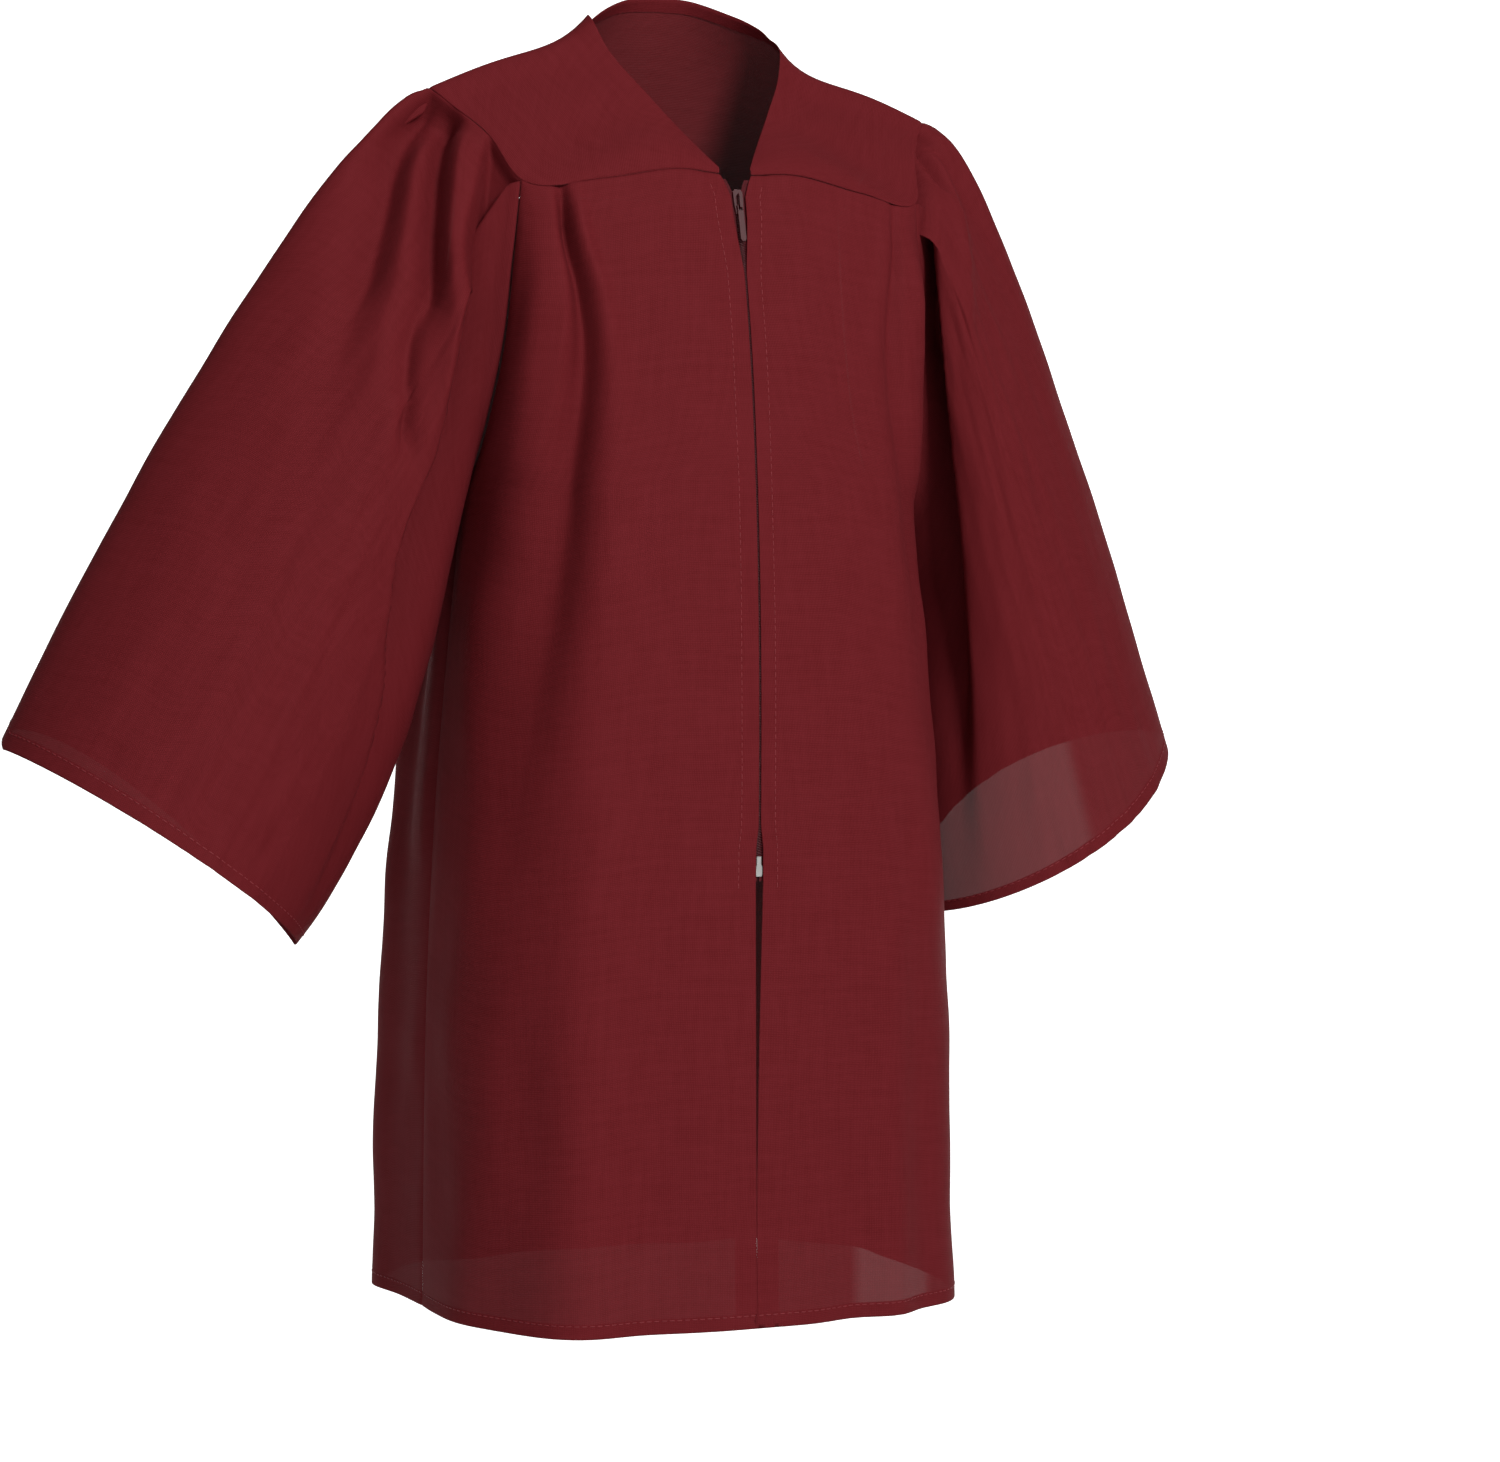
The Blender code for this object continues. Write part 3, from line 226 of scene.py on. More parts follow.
# %% Lacquered zinc
lacquer, lacquer_shader = new_material("lacquered zinc, burgundy", {
    "Roughness": 0.30, "IOR": 1.5, "Coat Weight": 0.35, "Coat Roughness": 0.20,
})
mottled(lacquer, lacquer_shader, ("#3E1216", "#54191E"), 1500.0, 0.12)

# %% [markdown]
# The bottom stop is a strip of aluminium pressed round both tapes. Pressing leaves fine dull
# marks, so its roughness varies a little over half a millimetre.

# %% Pressed aluminium
aluminium, aluminium_shader = new_material("pressed aluminium", {
    "Base Color": linear("#DCDCD8"), "Metallic": 1.0,
})
stop_place = add_node(aluminium, "ShaderNodeTexCoord").outputs["Object"]
stop_marks = add_node(aluminium, "ShaderNodeTexNoise", {}, {"Scale": 2000.0, "Detail": 3.0},
                      {"Vector": stop_place})
stop_dull = add_node(aluminium, "ShaderNodeMapRange", {}, {"To Min": 0.28, "To Max": 0.52},
                     {"Value": stop_marks.outputs["Fac"]})
aluminium.node_tree.links.new(stop_dull.outputs["Result"], aluminium_shader.inputs["Roughness"])

# %% [markdown]
# The coil's teeth are one nylon filament wound in loops, dyed with the tape. Nylon is
# smoother than cloth, so it is the glossiest soft part of the zip.

# %% Nylon coil
nylon, nylon_shader = new_material("nylon coil, burgundy", {
    "Roughness": 0.38, "IOR": 1.53,
})
mottled(nylon, nylon_shader, ("#4E161C", "#5E1E24"), 1 / 0.0008, 0.15)
print("materials:", [m.name for m in (polyester, thread, tape_cloth, lacquer, aluminium, nylon)])

# %% [markdown]
# The cut of the gown. These tables are the same measured lines as the solids were built from:
# the body's sections at eight heights, the neck, the yoke's outer edge, the armholes and the
# cuffs. A smooth curve runs through each of them, so the cloth can be sampled as finely as
# its creases need.

# %% The gown's lines
# Cloth
HEM_DEPTH = 0.0075

# Heights, and how far the zip's line leans to the wearer's right at the hem
HEM_Z = -0.6632
UNDERARM_Z = -0.245
CENTRE_LEAN = -0.012

# Cuffs, as lenses folded at their top and foot; the right arm is held out further
CUFF_POINT = 1.35
CUFFS = {
    -1: {"top": (0.360, 0.008, -0.372), "foot": (0.215, 0.000, -0.472),
         "front": (-0.072, 0.000), "back": (0.072, 0.036)},
    1: {"top": (0.303, 0.015, -0.3735), "foot": (0.146, 0.000, -0.468),
        "front": (-0.070, -0.008), "back": (0.073, 0.016)},
}

# Body sections: height, half width, front and back depth line, squareness of each half
SECTIONS = {
    "z":      (-0.060, -0.090, -0.160, -0.245, -0.325, -0.404, -0.512, HEM_Z),
    "half":   (0.1240, 0.1230, 0.1190, 0.1225, 0.1300, 0.1365, 0.1415, 0.1440),
    "front":  (-0.056, -0.065, -0.080, -0.092, -0.100, -0.105, -0.109, -0.113),
    "back":   (0.0560, 0.0620, 0.0800, 0.0990, 0.1140, 0.1235, 0.1300, 0.1325),
    "middle": (0.0060, 0.0060, 0.0060, 0.0070, 0.0080, 0.0090, 0.0100, 0.0100),
    "front_square": (4.2, 4.0, 3.0, 2.7, 2.8, 3.0, 3.2, 3.4),
    "back_square":  (4.0, 3.8, 3.2, 3.3, 3.8, 4.1, 4.2, 4.2),
}

# Neck edge of one side, from the foot of the V over the shoulder to the centre back
NECK = {
    "place": (0.0, 0.16, 0.33, 0.44, 0.50, 0.60, 0.72, 0.86, 1.0),
    "x": (0.0088, 0.0200, 0.0345, 0.0490, 0.0540, 0.0520, 0.0400, 0.0200, 0.0),
    "y": (-0.0618, -0.0480, -0.0310, -0.0140, -0.0050, 0.0130, 0.0300, 0.0410, 0.0440),
    "z": (-0.0800, -0.0640, -0.0430, -0.0200, -0.0040, 0.0020, 0.0115, 0.0207, 0.0233),
}

# The gown sits a little askew: the wearer's left neck corner is lower, the back of the neck
# is shifted to the left and higher there, the left shoulder is shorter, the hem falls left
NECK_TILT = 0.075
NECK_SHIFT = 0.005
NECK_RISE = 0.050
SHOULDER_IN = {-1: 0.0, 1: 0.0050}
SHOULDER_DIP = {-1: 0.0058, 1: 0.0068}
HEM_TILT = 0.012

# Outer edge of the yoke of one side: front seam, armhole over the shoulder, back seam
YOKE_EDGE = {
    "place": (0.0, 0.10, 0.20, 0.32, 0.38, 0.45, 0.50, 0.55, 0.62, 0.68, 0.80, 0.90, 1.0),
    "x": (0.0090, 0.0350, 0.0720, 0.1120, 0.1220, 0.1350, 0.1440,
          0.1350, 0.1220, 0.1120, 0.0720, 0.0360, 0.0),
    "y": (-0.0630, -0.0650, -0.0625, -0.0500, -0.0330, -0.0170, -0.0060,
          0.0070, 0.0230, 0.0400, 0.0560, 0.0610, 0.0625),
    "z": (-0.0830, -0.0820, -0.0885, -0.0900, -0.0670, -0.0510, -0.0410,
          -0.0500, -0.0660, -0.0880, -0.0860, -0.0840, -0.0830),
}
FRONT_CORNER = 0.32
SHOULDER_END = 0.50
BACK_CORNER = 0.68

# Bows of the yoke over the chest and over the shoulder blade: place along it, reach, and how
# far it moves in y and z halfway between its neck and outer edges
YOKE_BOWS = (
    {"place": 0.22, "reach": 0.13, "y": -0.0050, "z": 0.0030},
    {"place": 0.86, "reach": 0.16, "y": 0.0060, "z": 0.0040},
)
DIP_PLACE = 0.48
DIP_REACH = 0.10

# Armhole below the yoke corners, from the corner down to the underarm
ARMHOLE_FRONT = {
    "z": (-0.090, -0.130, -0.170, -0.205, -0.230, UNDERARM_Z),
    "x": (0.1120, 0.1150, 0.1170, 0.1200, 0.1220, 0.1230),
    "y": (-0.0500, -0.0460, -0.0390, -0.0270, -0.0120, 0.00685),
}
ARMHOLE_BACK = {
    "z": (-0.088, -0.130, -0.170, -0.205, -0.230, UNDERARM_Z),
    "x": (0.1120, 0.1160, 0.1190, 0.1210, 0.1225, 0.1230),
    "y": (0.0400, 0.0430, 0.0420, 0.0360, 0.0250, 0.00715),
}

# Half of the gap between the fronts: the V, the slider, the closed zip, the open vent
FRONT_GAP = {
    "z":   (HEM_Z, -0.600, -0.520, -0.440, -0.424, -0.412,
            -0.134, -0.118, -0.106, -0.094, -0.088, -0.080),
    "gap": (0.0000, 0.0001, 0.0009, 0.0021, 0.0020, 0.0006,
            0.0006, 0.0021, 0.0031, 0.0032, 0.0056, 0.0095),
}

# Where the body's own sections meet the armhole: turn at the two yoke corners, how far from
# the seam a panel is pulled onto it, and from which share of its width onto the armhole
FRONT_CORNER_TURN = 0.40
BACK_CORNER_TURN = 0.62
SEAM_PULL = 0.06
HOLE_PULL = 0.55

# Columns of the front of a sleeve head, and how far each drifts towards the underarm
SLEEVE_COLUMNS = {
    "head": (0.270, 0.284, 0.298, 0.307, 0.316, 0.326, 0.340, 0.354, 0.366, 0.376, 0.387, 0.400,
             0.412, 0.421, 0.430, 0.440, 0.452, 0.464, 0.474, 0.485, 0.492, 0.500),
    "drift": (0.100, 0.112, 0.122, 0.128, 0.133, 0.138, 0.144, 0.147, 0.148, 0.147, 0.145, 0.140,
              0.133, 0.127, 0.119, 0.108, 0.094, 0.078, 0.062, 0.040, 0.022, 0.000),
}

# Shares of a panel's width where the solids have their columns; the front's from its middle
FRONT_ACROSS_CUT = (0.50, 0.60, 0.68, 0.735, 0.775, 0.815, 0.835, 0.86, 0.885, 0.91, 0.94,
                    0.97, 1.0)
BACK_ACROSS_CUT = (0.0, 0.07, 0.13, 0.175, 0.22, 0.27, 0.32, 0.38, 0.435, 0.48, 0.53, 0.58, 0.64,
                   0.695, 0.74, 0.79, 0.85, 0.92, 1.0)

# How the lines of a sleeve at nine places round it leave the armhole and reach the cuff
RUN_PLACES = (0.0, 0.14, 0.27, 0.38, 0.50, 0.62, 0.73, 0.86, 1.0)
SLEEVE_RUN = {
    -1: {
        "leave_x": (0.030, 0.070, 0.100, 0.147, 0.188, 0.147, 0.100, 0.070, 0.030),
        "leave_y": (0.000, -0.045, -0.060, -0.045, 0.000, 0.040, 0.050, 0.035, 0.000),
        "leave_z": (-0.170, -0.170, -0.180, -0.142, -0.104, -0.142, -0.180, -0.170, -0.170),
        "reach_x": (0.200, 0.165, 0.160, 0.178, 0.196, 0.178, 0.160, 0.165, 0.200),
        "reach_y": (0.000, -0.020, -0.030, -0.020, 0.000, 0.015, 0.020, 0.015, 0.000),
        "reach_z": (-0.240, -0.280, -0.320, -0.370, -0.410, -0.370, -0.320, -0.280, -0.240),
    },
    1: {
        "leave_x": (0.065, 0.078, 0.088, 0.124, 0.152, 0.128, 0.098, 0.082, 0.065),
        "leave_y": (0.000, -0.040, -0.050, -0.035, 0.000, 0.040, 0.055, 0.040, 0.000),
        "leave_z": (-0.190, -0.180, -0.180, -0.142, -0.104, -0.142, -0.180, -0.180, -0.190),
        "reach_x": (0.020, 0.060, 0.095, 0.122, 0.142, 0.125, 0.110, 0.075, 0.020),
        "reach_y": (0.000, -0.015, -0.020, -0.015, 0.015, 0.030, 0.035, 0.020, 0.000),
        "reach_z": (-0.240, -0.280, -0.320, -0.370, -0.400, -0.370, -0.320, -0.280, -0.240),
    },
}
SLEEVE_LENGTH = 0.39
DRIFT_RUN = 0.75
DRIFT_BEND = 0.8

# %% [markdown]
# The solids' panels have a point every 10 to 80 mm. Cloth needs many more, because a pleat's
# edge is sharp where it leaves the seam: here the rows are 4 to 6 mm apart, with a few close
# rows at each seam, where the cloth turns in.

# %% Finer rows and columns
EDGE_STEPS = (0.0, 0.0006, 0.0013, 0.0024, 0.0042)


def finer(values, parts):
    """Split each step of a rising or falling list into equal parts."""
    values = np.asarray(values, float)
    places = np.linspace(0.0, len(values) - 1, (len(values) - 1) * parts + 1)
    return np.interp(places, np.arange(len(values)), values)


FRONT_ACROSS = np.concatenate([[0.0, 0.004, 0.010], np.linspace(0.02, 0.5, 13),
                               finer(FRONT_ACROSS_CUT, 4)[1:-1], [0.9975, 1.0]])
BACK_ACROSS = np.concatenate([[0.0, 0.003], finer(BACK_ACROSS_CUT, 4)[1:]])
ARMHOLE_DOWN = np.concatenate([ARMHOLE_FRONT["z"][0] - np.array(EDGE_STEPS),
                               np.linspace(-0.0965, UNDERARM_Z, 28)])
SIDE_DOWN = np.linspace(UNDERARM_Z - 0.005, HEM_Z + 0.012, 76)
SLEEVE_DOWN = np.concatenate([np.array(EDGE_STEPS) / SLEEVE_LENGTH, np.linspace(0.018, 0.972, 84)])
YOKE_ACROSS = np.concatenate([[0.0, 0.008], np.linspace(0.03, 0.955, 20),
                              1.0 - np.array(EDGE_STEPS[3::-1]) * 12.0])
SLEEVE_HEAD = finer(SLEEVE_COLUMNS["head"], 4)
print("front columns", len(FRONT_ACROSS), "sleeve rows", len(SLEEVE_DOWN))

# %% [markdown]
# Curves. A table is read with a smooth curve through its values, so a line of eight measured
# points can be sampled at any number of places. The body's section at each height is a
# squared oval, and the neck, the yoke and the armholes are lines that lie on it.

# %% Curves through the lines


def smooth_step(share):
    """0 to 1 with level ends."""
    share = np.clip(share, 0.0, 1.0)
    return share * share * (3.0 - 2.0 * share)


def through(places, values, at):
    """Smooth curve through values at rising places, read at each place of at."""
    places = np.asarray(places, float)
    values = np.asarray(values, float)
    at = np.clip(np.asarray(at, float), places[0], places[-1])
    steps = np.diff(places)
    slopes = np.diff(values) / steps
    tangents = np.concatenate([slopes[:1], 0.5 * (slopes[1:] + slopes[:-1]), slopes[-1:]])
    left = np.clip(np.searchsorted(places, at, side="right") - 1, 0, len(steps) - 1)
    t = (at - places[left]) / steps[left]
    bend = tangents[left] * (t**3 - 2 * t**2 + t) + tangents[left + 1] * (t**3 - t**2)
    return (values[left] * (2 * t**3 - 3 * t**2 + 1) + values[left + 1] * (3 * t**2 - 2 * t**3)
            + steps[left] * bend)


def column(table, name, at, key="z"):
    """One named column of a table whose key column may rise or fall."""
    keys, values = np.asarray(table[key], float), np.asarray(table[name], float)
    order = np.argsort(keys)
    return through(keys[order], values[order], at)


def columns(table, at):
    """The x, y and z columns of a table at once, as points."""
    return np.stack([column(table, name, at, "place") for name in "xyz"], axis=-1)


def normals(points, closed=False):
    """Unit normals of a grid of points, by its neighbours."""
    if closed:
        round_it = np.concatenate([points[:, -1:], points, points[:, :1]], axis=1)
        across = (round_it[:, 2:] - round_it[:, :-2])
    else:
        across = np.gradient(points, axis=1)
    down = np.gradient(points, axis=0)
    found = np.cross(across, down)
    return found / np.maximum(np.linalg.norm(found, axis=-1, keepdims=True), 1e-12)


def quarter(half, depth, square, share):
    """A quarter of a squared oval, from its middle line to its side, even along its length."""
    angle = np.linspace(0.0, math.pi / 2, 121)
    x = half * np.sin(angle) ** (2.0 / square)
    y = depth * np.cos(angle) ** (2.0 / square)
    length = np.concatenate([[0.0], np.cumsum(np.hypot(np.diff(x), np.diff(y)))])
    length = length / length[-1]
    return np.interp(share, length, x), np.interp(share, length, y)


def body_points(side, turn, z):
    """Plain body surface: turn 0 at the centre front, 0.5 at the side, 1 at the centre back."""
    turn, z = np.broadcast_arrays(np.asarray(turn, float), np.asarray(z, float))
    points = np.zeros(turn.shape + (3,))
    for place in np.ndindex(turn.shape):
        height = z[place]
        half = column(SECTIONS, "half", height)
        middle = column(SECTIONS, "middle", height)
        if turn[place] <= 0.5:
            square = column(SECTIONS, "front_square", height)
            depth = middle - column(SECTIONS, "front", height)
            x, y = quarter(half, depth, square, turn[place] / 0.5)
            y = middle - y
        else:
            square = column(SECTIONS, "back_square", height)
            depth = column(SECTIONS, "back", height) - middle
            x, y = quarter(half, depth, square, (1.0 - turn[place]) / 0.5)
            y = middle + y
        points[place] = (x, y, height)
    lean = CENTRE_LEAN * smooth_step((-0.10 - z) / 0.562) * np.clip(1.0 - turn / 0.5, 0.0, 1.0)
    points[..., 0] = side * points[..., 0] + lean
    return points


def front_girth(z):
    """Length of the body's front quarter at a height."""
    row = body_points(1, np.linspace(0.0, 0.5, 25), np.full(25, z))
    return np.linalg.norm(np.diff(row, axis=0), axis=1).sum()


def armhole_edge(panel, side, z):
    """The armhole's own line below a yoke corner."""
    table = ARMHOLE_FRONT if panel == "front" else ARMHOLE_BACK
    points = np.stack([column(table, "x", z), column(table, "y", z), z], axis=-1)
    points[..., 0] *= side
    return points


def yoke_edge(side, place):
    """Outer edge of the yoke at places of its table; the wearer's left shoulder is shorter."""
    points = columns(YOKE_EDGE, place)
    near = 1.0 - smooth_step(np.abs(place - SHOULDER_END) / (SHOULDER_END - FRONT_CORNER))
    points[..., 0] = side * (points[..., 0] - SHOULDER_IN[side] * near)
    return points


def neck_edge(side, place):
    """Neck edge at places of its table; lower on the wearer's left, its back shifted to the left."""
    points = columns(NECK, place)
    points[..., 0] *= side
    tilt = smooth_step(place / 0.4) * (1.0 - smooth_step((place - 0.52) / 0.2))
    behind = smooth_step((place - 0.5) / 0.15)
    points[..., 2] += (NECK_RISE * behind - NECK_TILT * tilt) * points[..., 0]
    points[..., 0] += NECK_SHIFT * behind
    return points


def yoke_half(side, places, across):
    """Grid of one half of the yoke, rows along it and columns from neck to outer edge."""
    inner = neck_edge(side, places)[:, None]
    outer = yoke_edge(side, places)[:, None]
    share = across[None]
    points = inner + (outer - inner) * share[..., None]
    for bow in YOKE_BOWS:
        near = np.exp(-((places - bow["place"]) / bow["reach"]) ** 2)[:, None]
        near = near * 4.0 * share * (1.0 - share)
        points[..., 1] += bow["y"] * near
        points[..., 2] += bow["z"] * near
    dip = np.exp(-((places - DIP_PLACE) / DIP_REACH) ** 2)[:, None]
    points[..., 2] -= SHOULDER_DIP[side] * dip * 12.2 * share * (1.0 - share) ** 4
    return points


def back_places():
    """Places of the yoke's edge where the back has a column."""
    return BACK_CORNER + BACK_ACROSS * (1.0 - BACK_CORNER)

# %% [markdown]
# Folds. A knife pleat leaves its seam as a sharp edge over a narrow trough and softens into a
# broad hollow further down. Each is a smooth trough with a ridge beside it, which widens as
# it falls and fades out at its foot. Between the pleats the cloth hangs in soft drapes that
# grow towards the hem. The back has the same kind of folds, because it hangs the same way.

# %% Folds of the fronts and the back
BODY_FOLDS = {
    "front": ({"column": 0.815, "foot": -0.56, "depth": 0.0095, "width": 0.026, "ridge": 0.0036},),
    "back": (
        {"column": 0.220, "foot": -0.60, "depth": 0.0075, "width": 0.024, "ridge": 0.0032},
        {"column": 0.480, "foot": -0.66, "depth": 0.0080, "width": 0.026, "ridge": 0.0034},
        {"column": 0.740, "foot": -0.57, "depth": 0.0073, "width": 0.024, "ridge": 0.0032},
    ),
}
LEFT_FRONT_SHARE = 0.30
PANEL_WIDTH = 0.170
FOLD_TOP_Z = -0.085

# The cloth lies still under the yoke, beside the zip, at the side seams and down the middle
# of the back: lengths in metres, then shares of a panel's width
CALM_TOP = 0.012
CALM_FADE = 0.05
CALM_ZIP = 0.12
SIDE_FADE = 0.05
MIDDLE_FADE = 0.02

# The front pleat drops straight, then swings out to the side: share of the front's width
# where its column lies at each height
FRONT_PLEAT = 0.815
FRONT_PLEAT_LINE = {
    "z":      (HEM_Z, -0.450, -0.396, -0.349, -0.304, -0.268, -0.228, -0.188,
               -0.163, -0.139, -0.124, -0.113, -0.102, -0.0925, -0.083),
    "across": (0.630, 0.650, 0.645, 0.611, 0.581, 0.561, 0.552, 0.549,
               0.566, 0.613, 0.675, 0.724, 0.768, 0.7930, 0.800),
}

# Soft drapes that grow towards the hem: share of the panel's width at their head and foot,
# height where they start, half width and how far they move the cloth out
DRAPES = {
    "front_right": (
        {"head": 0.24, "foot": 0.27, "start": -0.30, "reach": 0.017, "out": -0.0058},
        {"head": 0.38, "foot": 0.43, "start": -0.26, "reach": 0.019, "out": 0.0051},
        {"head": 0.52, "foot": 0.60, "start": -0.34, "reach": 0.018, "out": -0.0044},
    ),
    "front_left": (
        {"head": 0.30, "foot": 0.25, "start": -0.38, "reach": 0.012, "out": -0.0051},
        {"head": 0.36, "foot": 0.34, "start": -0.36, "reach": 0.011, "out": 0.0048},
        {"head": 0.40, "foot": 0.44, "start": -0.28, "reach": 0.014, "out": -0.0061},
        {"head": 0.62, "foot": 0.68, "start": -0.25, "reach": 0.020, "out": -0.0044},
    ),
    "back": (
        {"head": 0.33, "foot": 0.30, "start": -0.28, "reach": 0.017, "out": 0.0054},
        {"head": 0.40, "foot": 0.42, "start": -0.30, "reach": 0.016, "out": -0.0058},
        {"head": 0.60, "foot": 0.58, "start": -0.26, "reach": 0.018, "out": 0.0051},
        {"head": 0.68, "foot": 0.71, "start": -0.32, "reach": 0.015, "out": -0.0061},
        {"head": 0.86, "foot": 0.85, "start": -0.30, "reach": 0.020, "out": 0.0044},
    ),
}

# Pleats of a sleeve head: one in front by the shoulder and four behind. Head is a column of
# the sleeve (0 underarm, 0.27 front corner, 0.5 shoulder, 0.73 back corner), run is how far
# down the pleat fades
SLEEVE_FOLDS = {
    -1: ({"head": 0.480, "run": 0.30, "depth": 0.0040, "ridge": 0.0020},),
    1: ({"head": 0.452, "run": 0.30, "depth": 0.0035, "ridge": 0.0020},),
}
BACK_SLEEVE_FOLDS = (
    {"head": 0.526, "run": 0.70, "depth": 0.0085, "ridge": 0.0030},
    {"head": 0.570, "run": 0.55, "depth": 0.0105, "ridge": 0.0045},
    {"head": 0.624, "run": 0.48, "depth": 0.0125, "ridge": 0.0052},
    {"head": 0.684, "run": 0.38, "depth": 0.0080, "ridge": 0.0034},
)
RIDGE_PLACE = 0.024

# Creases of each sleeve: a line of (place round the sleeve, share of its length), its reach
# to each side and how far it moves the cloth out
SLEEVE_GIRTH = 0.33
BACK_CREASE = {"line": ((0.640, 0.30), (0.620, 0.60), (0.640, 0.90)), "reach": 0.015, "out": -0.0045}
SLEEVE_CREASES = {
    -1: (
        {"line": ((0.468, -0.02), (0.464, 0.04), (0.452, 0.13), (0.440, 0.185), (0.410, 0.26),
                  (0.390, 0.33), (0.378, 0.38), (0.350, 0.56)),
         "reach": 0.0105, "out": -0.0130},
        {"line": ((0.436, -0.03), (0.420, 0.055), (0.386, 0.135), (0.344, 0.22),
                  (0.310, 0.285), (0.302, 0.33)),
         "reach": 0.0068, "out": -0.0150},
        {"line": ((0.322, 0.27), (0.306, 0.355), (0.284, 0.395), (0.236, 0.435), (0.180, 0.42)),
         "reach": 0.0060, "out": -0.0075},
        {"line": ((0.440, 0.06), (0.420, 0.14), (0.385, 0.22), (0.355, 0.30), (0.335, 0.38),
                  (0.300, 0.50)),
         "reach": 0.0110, "out": 0.0045},
        {"line": ((0.392, 0.01), (0.358, 0.11), (0.326, 0.19), (0.262, 0.28), (0.210, 0.36),
                  (0.180, 0.50)),
         "reach": 0.0100, "out": 0.0070},
        BACK_CREASE,
    ),
    1: (
        {"line": ((0.430, -0.02), (0.350, 0.028), (0.250, 0.038), (0.130, 0.045), (0.060, 0.120),
                  (0.042, 0.365), (0.042, 0.75)),
         "reach": 0.0140, "out": -0.0210},
        {"line": ((0.460, -0.02), (0.428, 0.035), (0.402, 0.090), (0.392, 0.14)),
         "reach": 0.0045, "out": -0.0080},
        {"line": ((0.452, 0.03), (0.425, 0.10), (0.380, 0.17), (0.310, 0.22), (0.250, 0.28)),
         "reach": 0.0120, "out": 0.0045},
        BACK_CREASE,
    ),
}

# Waves of the unevenness: their width, their height and how far they move the cloth
WAVES = ((0.052, 0.16, 0.00034), (0.083, 0.11, 0.00040), (0.031, 0.20, 0.00018),
         (0.120, 0.07, 0.00030))

# In front of the underarm the cloth falls back behind the sleeve's last fold: its edge, as the
# place round the sleeve at shares of its length, and how deep it lies there
SLEEVE_RECESS = {
    -1: {"down": (0.0, 0.105, 0.185, 0.28, 0.355, 0.495, 0.565, 0.64, 1.0),
         "edge": (0.348, 0.316, 0.294, 0.220, 0.175, 0.158, 0.130, 0.090, 0.060),
         "deep": (0.005, 0.018, 0.032, 0.044, 0.048, 0.046, 0.040, 0.028, 0.0), "soft": 0.022},
    1: {"down": (0.0, 0.05, 0.10, 0.20, 0.40, 0.60, 0.80, 1.0),
        "edge": (0.330, 0.250, 0.190, 0.120, 0.080, 0.070, 0.060, 0.060),
        "deep": (0.003, 0.010, 0.020, 0.030, 0.030, 0.022, 0.010, 0.0), "soft": 0.030},
}


def pleat(away, depth, ridge, soft):
    """Profile across a knife pleat: steep under its edge on one side, gentle on the other."""
    steep = np.where(away > 0, 0.46 + 0.24 * soft, 0.75 + 0.20 * soft)
    trough = -depth * np.exp(-(away / steep) ** 2)
    return trough + ridge * np.exp(-((away - 1.35) / 0.72) ** 2)


def fold_depth(fold, away, z):
    """How far one body fold moves the cloth."""
    down = np.clip((FOLD_TOP_Z - z) / (FOLD_TOP_Z - fold["foot"]), 0.0, 1.0)
    soft = smooth_step(down / 0.6)
    away = away / (0.5 * fold["width"] * (0.55 + 1.25 * soft))
    fade = (0.12 + 0.88 * smooth_step(down / 0.06)) * (1.0 - smooth_step((down - 0.25) / 0.75))
    return fade * pleat(away, fold["depth"], fold["ridge"], soft)


def drape_depth(drape, placed, z):
    """How far one soft drape moves the cloth; it swells towards the hem."""
    down = np.clip((drape["start"] - z) / (drape["start"] - HEM_Z), 0.0, 1.0)
    line = drape["head"] + (drape["foot"] - drape["head"]) * down
    reach = drape["reach"] * (0.75 + 0.35 * down)
    return drape["out"] * smooth_step(down) * np.exp(-((placed - line) * PANEL_WIDTH / reach) ** 2)


def unevenness(across, down, seed):
    """Slow uneven waves of the hanging cloth, under 1 mm, the same on every run."""
    total = 0.0
    for index, (wide, tall, size) in enumerate(WAVES):
        turn = 1.7 * index + 2.3 * seed
        total = total + size * np.sin(math.tau * (across / wide + 0.5 * math.sin(turn)) + turn
                                      + 1.3 * np.sin(math.tau * down / tall + turn))
    return total


def sleeve_fold(fold, head, down):
    """How far one sleeve pleat moves the cloth: a trough with a ridge towards the shoulder."""
    share = np.clip(down / fold["run"], 0.0, 1.0)
    soft = smooth_step(share / 0.6)
    away = (head - fold["head"]) * (1.0 if fold["head"] < 0.5 else -1.0)
    away = away / (RIDGE_PLACE * (0.72 + 0.60 * soft))
    fade = smooth_step(down / 0.06 + 0.16) * (1.0 - smooth_step((share - 0.25) / 0.75))
    return fade * pleat(away, fold["depth"], fold["ridge"], soft)

# %% [markdown]
# Panels. Each panel is a grid of points on the gown's own lines, moved out or in by its
# folds. A front follows its armhole at one side and the zip at the other, and a sleeve runs
# from the armhole to its cuff as a tube.

# %% Grids of the panels


def panel_place(panel, column_at, z):
    """Share of a panel's width where a column lies at each height; the front's follow its pleat."""
    if panel == "back":
        return np.broadcast_to(column_at, np.shape(z))
    line = column(FRONT_PLEAT_LINE, "across", z)
    inside = column_at * line / FRONT_PLEAT
    outside = 1.0 - (1.0 - column_at) * (1.0 - line) / (1.0 - FRONT_PLEAT)
    return np.where(np.asarray(column_at) <= FRONT_PLEAT, inside, outside)


